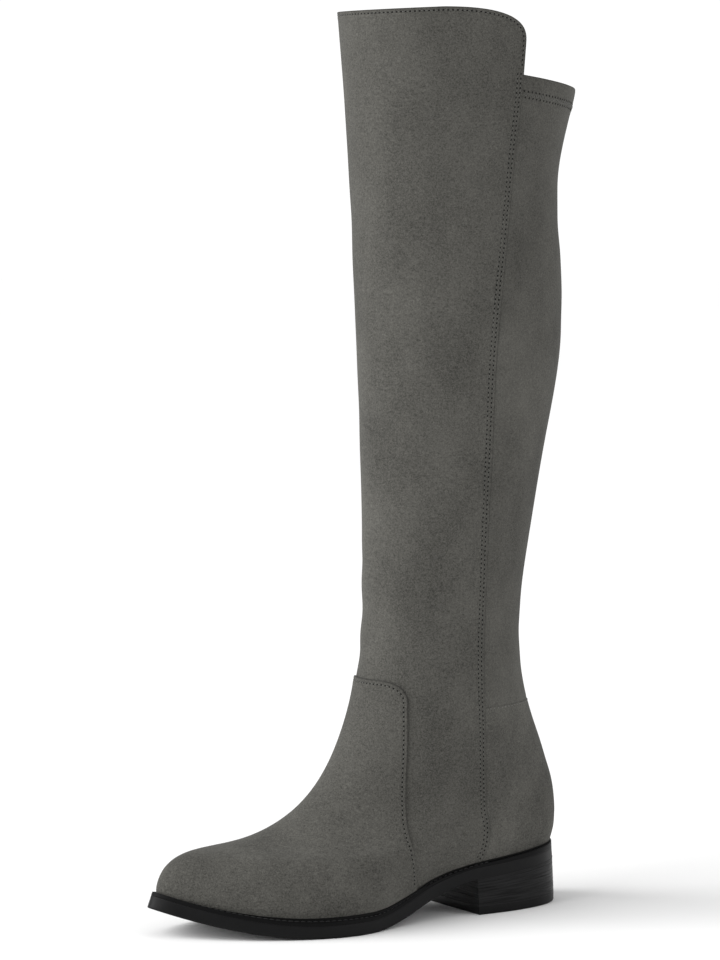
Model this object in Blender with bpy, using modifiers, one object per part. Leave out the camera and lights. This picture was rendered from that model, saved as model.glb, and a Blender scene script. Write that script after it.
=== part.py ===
"""Over-the-knee boot, left foot, modelled as a maker puts it together.

The boot stands on the plane Z = 0 with its toe towards -Y and its outer side towards +X.
The origin is the middle of the heel's bottom face. Tables are in millimetres, as a last maker
writes them, and MM turns them into metres when a mesh is made.

The last is the foot-shaped form that a boot is built on. Its surface is the upper's inner face.
"""
import math

import bmesh
import bpy
import numpy as np

MM = 0.001

# Sole and heel
SOLE_LENGTH = 265.0          # back of the heel to the tip of the toe
BALL_HALF_WIDTH = 46.2       # half of the outsole's width at the ball
HEEL_BACK_Y = 34.0           # the heel's back, behind the origin
BREAST = 67.0                # length of the sole's heel seat, before the waist's rise
HEEL_TOP_LENGTH = 70.2       # from the heel's back to its breast, under the sole
HEEL_FOOT_LENGTH = 69.0      # the same at the heel's foot, so the breast is raked
HEEL_HEIGHT = 20.7           # floor to the sole's underside at the breast
SEAT_RISE = 5.0              # how much higher the sole's underside is at the back of the heel
TOE_SPRING = 16.5            # floor to the underside of the toe's tip
TREAD_START = 180.0          # the flat tread reaches from here ...
TREAD_END = 150.0            # ... back to here, measured from the back of the heel
ARCH_EASE = 0.75             # share of the waist's rise that eases in and out; the rest goes by
ARCH_POWER = 1.5             # this power of the way up
HEEL_FLARE = 1.2             # how much wider the heel is at its foot, at the ball's half-width
EDGE_BREAK = 0.8             # small bevel along the lower edges

# Thicknesses of what the boot is made of
OUTSOLE_THICK = 7.2
WELT_THICK = 2.2
INSOLE_THICK = 3.0
LIFT_THICK = 5.0             # wear plate under the heel
WALL_FRONT = 2.3             # front panel: leather, interlining and lining
WALL_BACK = 1.6              # back panel: stretch cloth and lining
VAMP_THICK = 1.1

# Room between pieces
GAP = 0.3                    # between two pieces that touch
WELT_ROOM = 0.5              # round the upper, inside the welt
WELT_DRAFT = 0.2             # how much the welt's top is drawn in
WELT_TOP_PLACE = 0.4         # the last's section that the welt's top follows, in table rows
INSOLE_ROOM = 0.4            # round the insole
VAMP_LIFT = 0.4              # the vamp's foot, as a share of the way up to the next ring
VAMP_ROOM_END = 5.0          # how far behind the vamp's edge the welt still leaves room for it
WELT_EASE = 6.0              # length over which the welt's room changes
WAIST_LEDGE = 1.3            # how much the sole's edge stands out further at the waist
WAIST_LEDGE_Y = (-112.0, -84.0, -60.0)      # where that starts, is whole and ends

# Outline of the sole, a row for each station along its length
SOLE_COLUMNS = ("from_heel", "swing", "half_width")
SOLE_STATIONS = (
    (0.0, 0.0, 0.0),
    (10.0, 0.3, 22.0),
    (29.0, 1.0, 30.5),
    (67.0, 2.5, 32.0),
    (106.0, 3.5, 31.0),
    (136.0, 5.0, 38.5),
    (163.0, 4.5, 46.2),
    (186.0, 2.0, 45.8),
    (211.0, -1.5, 39.5),
    (236.0, -6.5, 28.0),
    (253.5, -9.5, 15.5),
    (265.0, -11.0, 0.0),
)

# Sections of the foot of the last, bottom to top, a row for each. front and back give the ends
# of a section on the boot's middle plane, with their rise above the sole's seat. widest is where
# it is broadest, as a share of its length from the back. nose is the exponent of its front end:
# under 2 is pointed, over 2 is blunt. sole_share is how far it keeps the sole's outline and
# profile. front_x is its front end's shift to the side, dip lowers its flanks, and seam_y is
# where the side seam crosses it.
FOOT_COLUMNS = ("front_y", "front_rise", "back_y", "back_rise", "half_width", "widest", "nose",
                "sole_share", "front_x", "dip", "seam_y")
FOOT_SECTIONS = (
    (-220.6, 1.2, 30.6, 1.2, 38.4, 0.60, 2.2, 1.00, -11.0, 0.0, -30.0),
    (-220.9, 6.1, 32.2, 5.8, 39.3, 0.60, 2.2, 0.92, -11.0, 0.0, -27.8),
    (-217.8, 13.9, 33.8, 11.0, 41.2, 0.60, 2.1, 0.80, -11.0, 0.0, -26.6),
    (-211.0, 21.7, 34.8, 16.4, 41.2, 0.60, 2.1, 0.67, -11.0, 1.0, -26.0),
    (-199.5, 28.3, 35.4, 21.9, 40.2, 0.60, 2.0, 0.54, -11.0, 2.0, -26.3),
    (-184.0, 32.9, 35.4, 27.4, 38.6, 0.59, 2.0, 0.42, -10.5, 4.0, -27.0),
    (-166.0, 37.8, 34.8, 33.9, 36.8, 0.57, 2.0, 0.32, -9.5, 6.0, -27.8),
    (-147.0, 44.9, 33.0, 42.0, 35.4, 0.55, 2.0, 0.22, -8.0, 7.0, -28.8),
    (-128.8, 56.1, 29.4, 52.2, 34.6, 0.53, 2.0, 0.13, -6.0, 7.0, -29.8),
    (-113.4, 73.0, 24.4, 65.5, 34.4, 0.51, 2.0, 0.06, -4.0, 5.0, -30.9),
    (-101.6, 93.9, 17.2, 83.0, 35.0, 0.50, 2.0, 0.02, -2.0, 2.5, -32.0),
    (-92.4, 118.5, 10.4, 104.5, 36.4, 0.50, 2.0, 0.00, -1.0, 0.5, -34.2),
)

# Level sections of the shaft, from the ankle up: plain ovals, with no share of the sole
SHAFT_COLUMNS = ("height", "front_y", "back_y", "half_width", "seam_y")
SHAFT_SECTIONS = (
    (160.0, -87.8, 7.2, 37.4, -35.4),
    (190.0, -86.4, 8.4, 38.6, -35.0),
    (228.0, -86.0, 14.4, 41.4, -35.2),
    (276.0, -86.6, 23.0, 46.0, -35.4),
    (323.0, -88.0, 32.0, 50.0, -35.4),
    (370.0, -90.0, 33.6, 51.4, -32.0),
    (415.0, -92.6, 30.8, 50.8, -27.0),
    (447.0, -94.3, 33.4, 52.4, -24.4),
    (478.0, -96.0, 41.2, 56.4, -23.0),
    (508.0, -98.4, 46.0, 59.2, -21.8),
    (540.0, -101.0, 48.0, 61.4, -20.8),
)
OVAL = {"widest": 0.5, "nose": 2.0, "sole_share": 0.0, "front_x": 0.0, "dip": 0.0}

# Side view of the collar: the front panel stands higher than the stretch back panel
COLLAR_HEIGHT = 528.0        # floor to the top of the front panel
COLLAR_ROUND_DEPTH = 42.0    # round of the front panel's upper rear corner, front to back ...
COLLAR_ROUND_HEIGHT = 19.0   # ... and top to bottom
COLLAR_ROUND_POWER = 2.7     # 2 is an ellipse, and over 2 is squarer
FRONT_DIP = 6.0              # how far the collar's line falls towards the front, from
FRONT_DIP_Y = (-70.0, -150.0)  # the first of these places to the second
FREE_EDGE_Y = -22.3          # the front panel's free edge, below that corner ...
FREE_EDGE_FOOT_Y = -22.9     # ... and where it meets the back panel's top
STEP_HEIGHT = 489.9          # height of that meeting point
BACK_TOP_FALL = 0.145        # how steeply the back panel's top falls towards the back

# Side view of the vamp's rear edge, from the sole up to its rounded corner
VAMP_COLUMNS = ("height", "edge_y")
VAMP_EDGE = (
    (4.0, -75.0),
    (30.0, -81.8),
    (48.0, -85.4),
    (66.0, -84.9),
    (97.0, -82.0),
    (128.5, -80.6),
)
VAMP_ROUND = 11.5            # radius of the corner above that edge

# Fineness of the meshes
STEPS_PER_ROW = 2            # rings from one row of the last's tables to the next
BACK_COLUMNS = 8             # columns from the middle of the back to a side seam ...
FRONT_COLUMNS = 12           # ... and from there to the middle of the front
SEAM_WIDTH = 0.9             # degrees between the two columns that make the panel's step
HEEL_COLUMNS = 13            # columns from the middle of the heel's back to its breast
CORNER_STEPS = 6             # steps of a rounded corner
VAMP_EDGE_STEPS = 9          # steps of the vamp's rear edge
SLOPE_REACH = 0.5            # half of the length over which a slope is read
SMOOTH_ANGLE = 40.0          # degrees, edges sharper than this stay sharp
CUTTER_HALF_WIDTH = 90.0     # how far a cutter reaches to each side
CUTTER_TOP = 560.0           # how high the collar's cutter reaches ...
CUTTER_BACK_Y = 80.0         # ... and how far back

# Plain finishes: colour and roughness
SUEDE = ((0.10, 0.098, 0.088), 0.95)
VAMP_SUEDE = ((0.105, 0.102, 0.093), 0.95)
SOLE_RUBBER = ((0.012, 0.012, 0.013), 0.45)
WELT_RUBBER = ((0.014, 0.014, 0.015), 0.5)
HEEL_BLOCK = ((0.012, 0.012, 0.012), 0.4)
HEEL_LIFT = ((0.010, 0.010, 0.011), 0.55)
SOCK = ((0.12, 0.11, 0.10), 0.8)


def column(table, names, name):
    """One named column of a table."""
    return np.array([row[names.index(name)] for row in table], float)


def curve_through(knots, values, at):
    """Natural cubic spline through rows of values, read at the given places."""
    knots = np.asarray(knots, float)
    values = np.asarray(values, float)
    at = np.asarray(at, float)
    count = len(knots)
    step = np.diff(knots)
    slope = np.diff(values, axis=0) / step.reshape((-1,) + (1,) * (values.ndim - 1))
    matrix = np.eye(count)
    right = np.zeros_like(values)
    for i in range(1, count - 1):
        matrix[i, i - 1:i + 2] = step[i - 1], 2 * (step[i - 1] + step[i]), step[i]
        right[i] = 6 * (slope[i] - slope[i - 1])
    bend = np.linalg.solve(matrix, right)
    i = np.clip(np.searchsorted(knots, at, side="right") - 1, 0, count - 2)
    shape = at.shape + (1,) * (values.ndim - 1)
    left = (at - knots[i]).reshape(shape)
    rest = (knots[i + 1] - at).reshape(shape)
    width = step[i].reshape(shape)
    return (bend[i] * rest ** 3 + bend[i + 1] * left ** 3) / (6 * width) \
        + (values[i] / width - bend[i] * width / 6) * rest \
        + (values[i + 1] / width - bend[i + 1] * width / 6) * left


def fold_turn(turn):
    """A turn round a section as a half turn from its back, 0 to pi, with its side, 1 or -1."""
    return np.abs((turn + math.pi) % (2 * math.pi) - math.pi), np.where(np.sin(turn) >= 0, 1.0, -1.0)


def sole_outline(half_turn):
    """Swing and half-width of the sole where its length is read as a half turn, 0 at the heel."""
    turn = np.arccos(1 - 2 * column(SOLE_STATIONS, SOLE_COLUMNS, "from_heel") / SOLE_LENGTH)
    swing = column(SOLE_STATIONS, SOLE_COLUMNS, "swing")
    half = column(SOLE_STATIONS, SOLE_COLUMNS, "half_width")
    # Three stations are mirrored past each end, so that the outline closes round
    knots = np.concatenate([-turn[3:0:-1], turn, 2 * math.pi - turn[-2:-5:-1]])
    swing = np.concatenate([swing[3:0:-1], swing, swing[-2:-5:-1]])
    half = np.concatenate([-half[3:0:-1], half, -half[-2:-5:-1]])
    both = curve_through(knots, np.stack([swing, half], axis=1), half_turn)
    return both[:, 0], both[:, 1]


def sole_underside(y):
    """Height of the outsole's underside: heel seat, waist, flat tread and toe spring."""
    from_heel = HEEL_BACK_Y - np.asarray(y, float)
    toe = np.clip((from_heel - TREAD_START) / (SOLE_LENGTH - TREAD_START), 0, None)
    waist = np.clip((TREAD_END - from_heel) / (TREAD_END - BREAST), 0, 1)
    eased = waist ** 2 * (3 - 2 * waist)
    arch = ARCH_EASE * eased + (1 - ARCH_EASE) * waist ** ARCH_POWER
    seat = np.clip((BREAST - from_heel) / BREAST, 0, None)
    return TOE_SPRING * toe ** 2 + HEEL_HEIGHT * arch + SEAT_RISE * seat


def sole_slope(y):
    """Slope of the outsole's underside along Y."""
    return (sole_underside(y + SLOPE_REACH) - sole_underside(y - SLOPE_REACH)) / (2 * SLOPE_REACH)


def above_underside(y, depth):
    """Height of a face that lies a given depth above the outsole's underside, square to it."""
    return sole_underside(y) + depth * np.sqrt(1 + sole_slope(y) ** 2)


def seat_height(y):
    """Height of the face that the welt and the insole lie on."""
    return above_underside(y, OUTSOLE_THICK + GAP)


def last_sections():
    """Every section of the last as a table, with the heights of its two ends."""
    table = []
    for row in FOOT_SECTIONS:
        section = dict(zip(FOOT_COLUMNS, row))
        front_z = seat_height(section["front_y"]) + section.pop("front_rise")
        back_z = seat_height(section["back_y"]) + section.pop("back_rise")
        table.append([front_z, back_z, *section.values()])
    for row in SHAFT_SECTIONS:
        section = dict(zip(SHAFT_COLUMNS, row))
        height = section.pop("height")
        seam_y = section.pop("seam_y")
        table.append([height, height, *section.values(), *OVAL.values(), seam_y])
    return np.array(table, float)


def section_at(place):
    """One section of the last, where place counts in rows of its table."""
    table = last_sections()
    return curve_through(np.arange(len(table)), table, [place])[0]


def last_ring(section, turns):
    """Points of one section of the last. Turns run from the back (0) over the outer side."""
    (front_z, back_z, front_y, back_y, half_width, widest, nose, share, front_x, dip,
     _seam_y) = section
    half_turn, side = fold_turn(turns)
    along = (1 - np.cos(half_turn)) / 2
    y = back_y + (front_y - back_y) * along
    behind = np.clip((widest - along) / widest, 0, 1)
    before = np.clip((along - widest) / (1 - widest), 0, 1)
    egg = np.where(along < widest, np.sqrt(1 - behind ** 2), (1 - before ** nose) ** (1 / nose))
    swing, sole_half = sole_outline(half_turn)
    half = half_width * (share * sole_half / BALL_HALF_WIDTH + (1 - share) * egg)
    middle = share * swing + (1 - share) * front_x * along ** 2
    start = back_z - share * seat_height(back_y)
    end = front_z - share * seat_height(front_y)
    z = share * seat_height(y) + start + (end - start) * along - dip * np.sin(half_turn) ** 2
    return np.stack([middle + side * half, y, z], axis=1)


def section_turns(section, seam_width):
    """Column turns of one section, with two columns, seam_width degrees apart, at each seam."""
    front_y, back_y, seam_y = section[2], section[3], section[-1]
    seam = math.degrees(math.acos(1 - 2 * (back_y - seam_y) / (back_y - front_y)))
    back = np.linspace(0, seam - seam_width / 2, BACK_COLUMNS + 1)
    front = np.linspace(seam + seam_width / 2, 180, FRONT_COLUMNS + 1)
    half = np.concatenate([back, front]) if seam_width else np.concatenate([back, front[1:]])
    return np.radians(np.concatenate([half, 360 - half[-2:0:-1]]))


def last_rings(row_count):
    """Rings of the last, from its foot up through the given number of table rows."""
    places = np.linspace(0, row_count - 1, (row_count - 1) * STEPS_PER_ROW + 1)
    sections = [section_at(place) for place in places]
    return [last_ring(section, section_turns(section, SEAM_WIDTH)) for section in sections]


def skin_rows(bm, rows, round_rows=True, round_column=False):
    """Quads between rows of points, closed round each row or down each column if asked."""
    rows = [[bm.verts.new(point * MM) for point in row] for row in rows]
    count = len(rows[0])
    following = rows[1:] + rows[:1] if round_column else rows[1:]
    for lower, upper in zip(rows, following):
        for i in range(count if round_rows else count - 1):
            j = (i + 1) % count
            bm.faces.new((lower[i], lower[j], upper[j], upper[i]))
    return rows


def finished_mesh(bm, name):
    """Mesh of a bmesh, with its faces pointing out and shaded smooth between its edges."""
    bmesh.ops.recalc_face_normals(bm, faces=bm.faces)
    mesh = bpy.data.meshes.new(name)
    bm.to_mesh(mesh)
    bm.free()
    mesh.shade_smooth()
    mesh.set_sharp_from_angle(angle=math.radians(SMOOTH_ANGLE))
    return mesh


def new_part(name, mesh, finish, boot):
    """Object with its own plain material, under the boot's empty and in its collection."""
    colour, roughness = finish
    material = bpy.data.materials.new(name)
    material.use_nodes = True
    shader = material.node_tree.nodes["Principled BSDF"]
    shader.inputs["Base Color"].default_value = (*colour, 1)
    shader.inputs["Roughness"].default_value = roughness
    shader.inputs["Metallic"].default_value = 0.0
    mesh.materials.append(material)
    part = bpy.data.objects.new(name, mesh)
    part.parent = boot
    boot.users_collection[0].objects.link(part)
    return part


def add_wall(part, inner, outer):
    """Solidify between two distances outside the base surface."""
    wall = part.modifiers.new("wall", "SOLIDIFY")
    wall.thickness = (outer - inner) * MM
    wall.offset = 1 + 2 * inner / (outer - inner)
    wall.use_even_offset = True
    wall.use_quality_normals = True
    return wall


def side_cutter(name, outline, collection):
    """Side-view outline (Y, Z), extruded through the boot from side to side."""
    bm = bmesh.new()
    side = [bm.verts.new((-CUTTER_HALF_WIDTH * MM, y * MM, z * MM)) for y, z in outline]
    face = bm.faces.new(side)
    extruded = bmesh.ops.extrude_face_region(bm, geom=[face])["geom"]
    moved = [item for item in extruded if isinstance(item, bmesh.types.BMVert)]
    bmesh.ops.translate(bm, vec=(2 * CUTTER_HALF_WIDTH * MM, 0, 0), verts=moved)
    cutter = bpy.data.objects.new(name, finished_mesh(bm, name))
    cutter.hide_render = True
    cutter.display_type = "WIRE"
    collection.objects.link(cutter)
    return cutter


def cut(part, cutter, operation):
    """Exact boolean of a part with a cutter."""
    boolean = part.modifiers.new("cut", "BOOLEAN")
    boolean.operation = operation
    boolean.solver = "EXACT"
    boolean.object = cutter


def round_corner(corner, depth, height, power=2.0):
    """Rounded upper rear corner (Y, Z), from its top down to its side; power 2 is an ellipse."""
    turns = np.linspace(math.pi / 2, 0, CORNER_STEPS + 1)
    back = np.abs(np.cos(turns)) ** (2 / power)
    up = np.sin(turns) ** (2 / power)
    return list(zip(corner[0] - depth * (1 - back), corner[1] - height * (1 - up)))


def collar_outline():
    """Side view of what is cut away above the collar."""
    fall = BACK_TOP_FALL * (CUTTER_BACK_Y - FREE_EDGE_FOOT_Y)
    corner = round_corner((FREE_EDGE_Y, COLLAR_HEIGHT), COLLAR_ROUND_DEPTH, COLLAR_ROUND_HEIGHT,
                          COLLAR_ROUND_POWER)
    return [(FRONT_DIP_Y[1], CUTTER_TOP),
            (FRONT_DIP_Y[1], COLLAR_HEIGHT - FRONT_DIP),
            (FRONT_DIP_Y[0], COLLAR_HEIGHT),
            *corner,
            (FREE_EDGE_FOOT_Y, STEP_HEIGHT),
            (CUTTER_BACK_Y, STEP_HEIGHT - fall),
            (CUTTER_BACK_Y, CUTTER_TOP)]


def vamp_outline():
    """Side view of the vamp: its rear edge, its rounded corner and far past the toe."""
    height = column(VAMP_EDGE, VAMP_COLUMNS, "height")
    edge_y = column(VAMP_EDGE, VAMP_COLUMNS, "edge_y")
    heights = np.linspace(height[0], height[-1], VAMP_EDGE_STEPS + 1)
    rear = list(zip(curve_through(height, edge_y, heights), heights))
    top = height[-1] + VAMP_ROUND
    corner = round_corner((edge_y[-1], top), VAMP_ROUND, VAMP_ROUND)
    return rear[:-1] + corner[::-1] + [(-SOLE_LENGTH, top), (-SOLE_LENGTH, height[0])]


def build_upper(boot, cutters):
    """The hollow upper: one wall from the feather line to the collar, thicker in front."""
    rings = last_rings(len(FOOT_SECTIONS) + len(SHAFT_SECTIONS))
    around = len(rings[0])
    bm = bmesh.new()
    skin_rows(bm, rings)
    upper = new_part("upper", finished_mesh(bm, "upper"), SUEDE, boot)
    panel = upper.vertex_groups.new(name="front_panel")
    front = range(BACK_COLUMNS + 1, around - BACK_COLUMNS)
    panel.add([ring * around + i for ring in range(len(rings)) for i in front], 1.0, "REPLACE")
    wall = add_wall(upper, 0.0, WALL_FRONT)
    wall.vertex_group = panel.name
    wall.thickness_vertex_group = WALL_BACK / WALL_FRONT
    cut(upper, side_cutter("collar_cutter", collar_outline(), cutters), "DIFFERENCE")


def build_vamp(boot, cutters):
    """The vamp: an overlay on the front panel, made from the last's own rings."""
    rings = last_rings(len(FOOT_SECTIONS) + 1)
    rings[0] = rings[0] + (rings[1] - rings[0]) * VAMP_LIFT
    front = slice(BACK_COLUMNS + 1, len(rings[0]) - BACK_COLUMNS)
    bm = bmesh.new()
    skin_rows(bm, [ring[front] for ring in rings], round_rows=False)
    vamp = new_part("vamp", finished_mesh(bm, "vamp"), VAMP_SUEDE, boot)
    add_wall(vamp, WALL_FRONT + GAP, WALL_FRONT + GAP + VAMP_THICK)
    cut(vamp, side_cutter("vamp_cutter", vamp_outline(), cutters), "INTERSECT")


def with_halfway(points):
    """A closed ring with a point added halfway to each next one."""
    halfway = (points + np.roll(points, -1, axis=0)) / 2
    return np.stack([points, halfway], axis=1).reshape(-1, points.shape[1])


def outward(ring):
    """Plan directions that point out of a closed ring."""
    tangent = np.roll(ring, -1, axis=0) - np.roll(ring, 1, axis=0)
    normal = np.stack([-tangent[:, 1], tangent[:, 0]], axis=1)
    return normal / np.linalg.norm(normal, axis=1)[:, None]


def waist_ledge(y):
    """How much further the sole's edge stands out at a place along it."""
    share = np.interp(y, WAIST_LEDGE_Y, [0.0, 1.0, 0.0])
    return WAIST_LEDGE * share ** 2 * (3 - 2 * share)


def outline_points(turns, inset):
    """Plan of the sole (X, Y), drawn in by inset, at turns round it from the back of the heel."""
    half_turn, side = fold_turn(turns)
    swing, half = sole_outline(half_turn)
    y = HEEL_BACK_Y - SOLE_LENGTH * (1 - np.cos(half_turn)) / 2
    points = np.stack([swing + side * half, y], axis=1)
    return points + outward(points) * (waist_ledge(y) - inset)[:, None]


def sole_ring(inset, depth):
    """Closed ring at a depth above the sole's underside, square to it, drawn in by inset.

    It has a column for each column of the last's foot, and one between each two.
    """
    turns = section_turns(last_sections()[0], 0.0)
    following = np.append(turns[1:], 2 * math.pi)
    points = outline_points(np.stack([turns, (turns + following) / 2], axis=1).ravel(), inset)
    slope = sole_slope(points[:, 1])
    y = points[:, 1] - depth * slope / np.sqrt(1 + slope ** 2)
    return np.column_stack([points[:, 0], y, above_underside(y, depth)])


def cover_thickness(y):
    """Thickness of the wall and the vamp round the foot of the last, at a place along it."""
    toe = WALL_FRONT + GAP + VAMP_THICK
    seam_y = last_sections()[0][-1]
    vamp_end = VAMP_EDGE[0][1] + VAMP_ROOM_END
    places = [vamp_end, vamp_end + WELT_EASE, seam_y, seam_y + WELT_EASE]
    return np.interp(y, places, [toe, WALL_FRONT, WALL_FRONT, WALL_BACK])


def foot_ring(place, distance, depth):
    """Ring round the last near its foot, pushed out by distance(y), at a depth in the sole.

    Its extra columns lie halfway along the last's own facets, so that its gap to them is even.
    """
    ring = last_ring(section_at(place), section_turns(last_sections()[0], 0.0))
    plan = with_halfway(ring[:, :2] + outward(ring) * distance(ring[:, 1])[:, None])
    return np.column_stack([plan, above_underside(plan[:, 1], depth)])


def build_plate(name, rings, finish, boot):
    """Closed plate through rings of one count, with its two faces laid from side to side."""
    bm = bmesh.new()
    rows = skin_rows(bm, rings)
    count = len(rows[0])
    for ring in (rows[0], rows[-1]):
        for i in range((count - 1) // 2 + 1):
            across = [ring[i], ring[(i + 1) % count], ring[-i - 1], ring[-i]]
            corners = list(dict.fromkeys(across))
            if len(corners) > 2:
                bm.faces.new(corners)
    return new_part(name, finished_mesh(bm, name), finish, boot)


def build_outsole(boot):
    """The outsole, with its lower edge broken by a small bevel."""
    rings = [sole_ring(EDGE_BREAK, 0.0), sole_ring(0.0, EDGE_BREAK), sole_ring(0.0, OUTSOLE_THICK)]
    build_plate("outsole", rings, SOLE_RUBBER, boot)


def build_welt(boot):
    """The welt: a strip on the outsole's rim, snug round the foot of the upper and the vamp."""
    def snug(y):
        return cover_thickness(y) + WELT_ROOM

    low = OUTSOLE_THICK + GAP
    high = low + WELT_THICK
    rings = [sole_ring(0.0, low), sole_ring(WELT_DRAFT, high),
             foot_ring(WELT_TOP_PLACE, snug, high), foot_ring(0.0, snug, low)]
    bm = bmesh.new()
    skin_rows(bm, rings, round_column=True)
    new_part("welt", finished_mesh(bm, "welt"), WELT_RUBBER, boot)


def build_insole(boot):
    """The insole board and its sock, inside the foot of the upper."""
    def inside(y):
        return np.full_like(y, -INSOLE_ROOM)

    low = OUTSOLE_THICK + GAP
    rings = [foot_ring(0.0, inside, depth) for depth in (low, low + INSOLE_THICK)]
    build_plate("insole", rings, SOCK, boot)


def heel_plan(flare, length):
    """Plan of the heel (X, Y): the sole's outline for a length behind a straight breast, spread
    by flare.
    """
    end = math.acos(1 - 2 * length / SOLE_LENGTH)
    outer = np.linspace(0, end, HEEL_COLUMNS)
    turns = np.concatenate([outer, -outer[:0:-1]])
    return outline_points(turns, 0.0) * (1 + flare / BALL_HALF_WIDTH)


def level_ring(plan, height):
    """A plan at one height."""
    return np.column_stack([plan, np.full(len(plan), height)])


def build_heel(boot):
    """The heel block, under the sole's own curve, and the wear plate below it."""
    plan = heel_plan(0.0, HEEL_TOP_LENGTH)
    foot = heel_plan(HEEL_FLARE, HEEL_FOOT_LENGTH)
    seat = np.column_stack([plan, sole_underside(plan[:, 1]) - GAP])
    build_plate("heel_block", [level_ring(foot, LIFT_THICK + GAP), seat], HEEL_BLOCK, boot)
    tread = heel_plan(0.0, HEEL_FOOT_LENGTH)
    lift = [level_ring(tread, 0.0), level_ring(foot, EDGE_BREAK), level_ring(foot, LIFT_THICK)]
    build_plate("heel_lift", lift, HEEL_LIFT, boot)


def clear_scene():
    """Remove every object that the new file brings."""
    for obj in list(bpy.data.objects):
        bpy.data.objects.remove(obj, do_unlink=True)


def main():
    """Build every piece of the boot."""
    clear_scene()
    parts = bpy.data.collections.new("over_the_knee_boot")
    cutters = bpy.data.collections.new("cutters")
    bpy.context.scene.collection.children.link(parts)
    bpy.context.scene.collection.children.link(cutters)
    boot = bpy.data.objects.new("boot", None)
    parts.objects.link(boot)
    build_upper(boot, cutters)
    build_vamp(boot, cutters)
    build_outsole(boot)
    build_welt(boot)
    build_insole(boot)
    build_heel(boot)


if __name__ == "__main__":
    main()
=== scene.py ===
"""Looks of a left over-the-knee boot: napped suede panels, stitching, a welted sole, a stacked heel.

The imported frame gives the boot's place and size. Its panels are laid on the surface of the last,
the foot-shaped form that a boot is built on. The last's tables are in millimetres, as a last
maker writes them, and MM turns points into metres when a mesh is made. The toe points to -Y, the
outer side to +X, and Z = 0 is the floor.
"""
import logging
import math
from dataclasses import dataclass
from enum import Enum
from typing import Callable, Iterable, Sequence

import bpy
import numpy as np
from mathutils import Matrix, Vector


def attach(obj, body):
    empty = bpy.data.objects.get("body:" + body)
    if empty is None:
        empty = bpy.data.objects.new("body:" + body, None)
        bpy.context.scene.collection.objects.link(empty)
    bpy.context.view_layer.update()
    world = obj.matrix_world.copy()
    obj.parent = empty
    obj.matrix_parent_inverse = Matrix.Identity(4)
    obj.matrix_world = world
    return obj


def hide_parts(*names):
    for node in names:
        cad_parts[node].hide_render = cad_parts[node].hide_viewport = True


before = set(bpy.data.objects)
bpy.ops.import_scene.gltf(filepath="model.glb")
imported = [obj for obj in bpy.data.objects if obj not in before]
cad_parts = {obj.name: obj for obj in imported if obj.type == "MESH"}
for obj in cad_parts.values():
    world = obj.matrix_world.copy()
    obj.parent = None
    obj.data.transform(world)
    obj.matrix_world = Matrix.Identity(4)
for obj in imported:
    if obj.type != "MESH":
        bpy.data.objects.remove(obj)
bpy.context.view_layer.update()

LOG = logging.getLogger("boot")
MM = 0.001
Socket = bpy.types.NodeSocket
Array = np.ndarray
Pair = tuple[float, float]
Grid = tuple[Array, Array]
Field = Callable[[Array], Array]
Shape = tuple[Array, list[Array]]


# --- The last ------------------------------------------------------------------------------------

class Spline:
    """Natural cubic spline through rows of values."""

    def __init__(self, knots: Sequence[float], values: Array) -> None:
        """Solves the spline.

        Args:
            knots: Places of the rows, rising.
            values: One row of values for each knot.
        """
        self.knots = np.asarray(knots, float)
        self.values = np.asarray(values, float).reshape(len(self.knots), -1)
        self.step = np.diff(self.knots)
        slope = np.diff(self.values, axis=0) / self.step[:, None]
        matrix = np.eye(len(self.knots))
        right = np.zeros_like(self.values)
        for i in range(1, len(self.knots) - 1):
            before, after = self.step[i - 1], self.step[i]
            matrix[i, i - 1:i + 2] = before, 2 * (before + after), after
            right[i] = 6 * (slope[i] - slope[i - 1])
        self.bend = np.linalg.solve(matrix, right)

    def __call__(self, at: Array) -> Array:
        """Reads the spline.

        Args:
            at: Places to read, of any shape.

        Returns:
            Values, with one more axis than at.
        """
        at = np.asarray(at, float)
        i = np.clip(np.searchsorted(self.knots, at, side="right") - 1, 0, len(self.step) - 1)
        left = (at - self.knots[i])[..., None]
        rest = (self.knots[i + 1] - at)[..., None]
        width = self.step[i][..., None]
        low = self.values[i] / width - self.bend[i] * width / 6
        high = self.values[i + 1] / width - self.bend[i + 1] * width / 6
        cubic = (self.bend[i] * rest ** 3 + self.bend[i + 1] * left ** 3) / (6 * width)
        return cubic + low * rest + high * left


def table(columns: str, rows: Sequence[Sequence[float]]) -> dict[str, Array]:
    """Table as one array for each of its named columns."""
    return dict(zip(columns.split(), np.array(rows, float).T))


# The sole in plan and from the side
SOLE_LENGTH = 265.0
BALL_HALF_WIDTH = 46.2
HEEL_BACK_Y = 34.0
BREAST = 67.0                # from the heel's back to where the waist starts
HEEL_HEIGHT = 20.7           # floor to the sole's underside at the breast
SEAT_RISE = 5.0              # how much higher the underside is at the back of the heel
TOE_SPRING = 16.5            # floor to the underside of the toe's tip
TREAD_START = 180.0          # the flat tread reaches from here ...
TREAD_END = 150.0            # ... back to here, measured from the back of the heel
ARCH_EASE = 0.75             # share of the waist's rise that eases in and out; the rest goes by
ARCH_POWER = 1.5             # this power of the way up
WAIST_LEDGE = 1.3            # how much the sole's edge stands out further at the waist
WAIST_LEDGE_Y = (-112.0, -84.0, -60.0)      # where that starts, is whole and ends
HEEL_FLARE = 1.2             # how much wider the heel is at its foot, at the ball's half-width
HEEL_TOP_LENGTH = 70.2       # from the heel's back to its breast, under the sole
HEEL_FOOT_LENGTH = 69.0      # the same at the heel's foot, so the breast is raked

# Thicknesses, and the room between two pieces
OUTSOLE_THICK = 7.2
WELT_THICK = 2.2
INSOLE_THICK = 3.0
LIFT_THICK = 5.0
WALL_FRONT = 2.3
WALL_BACK = 1.6
VAMP_THICK = 1.1
GAP = 0.3

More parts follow.
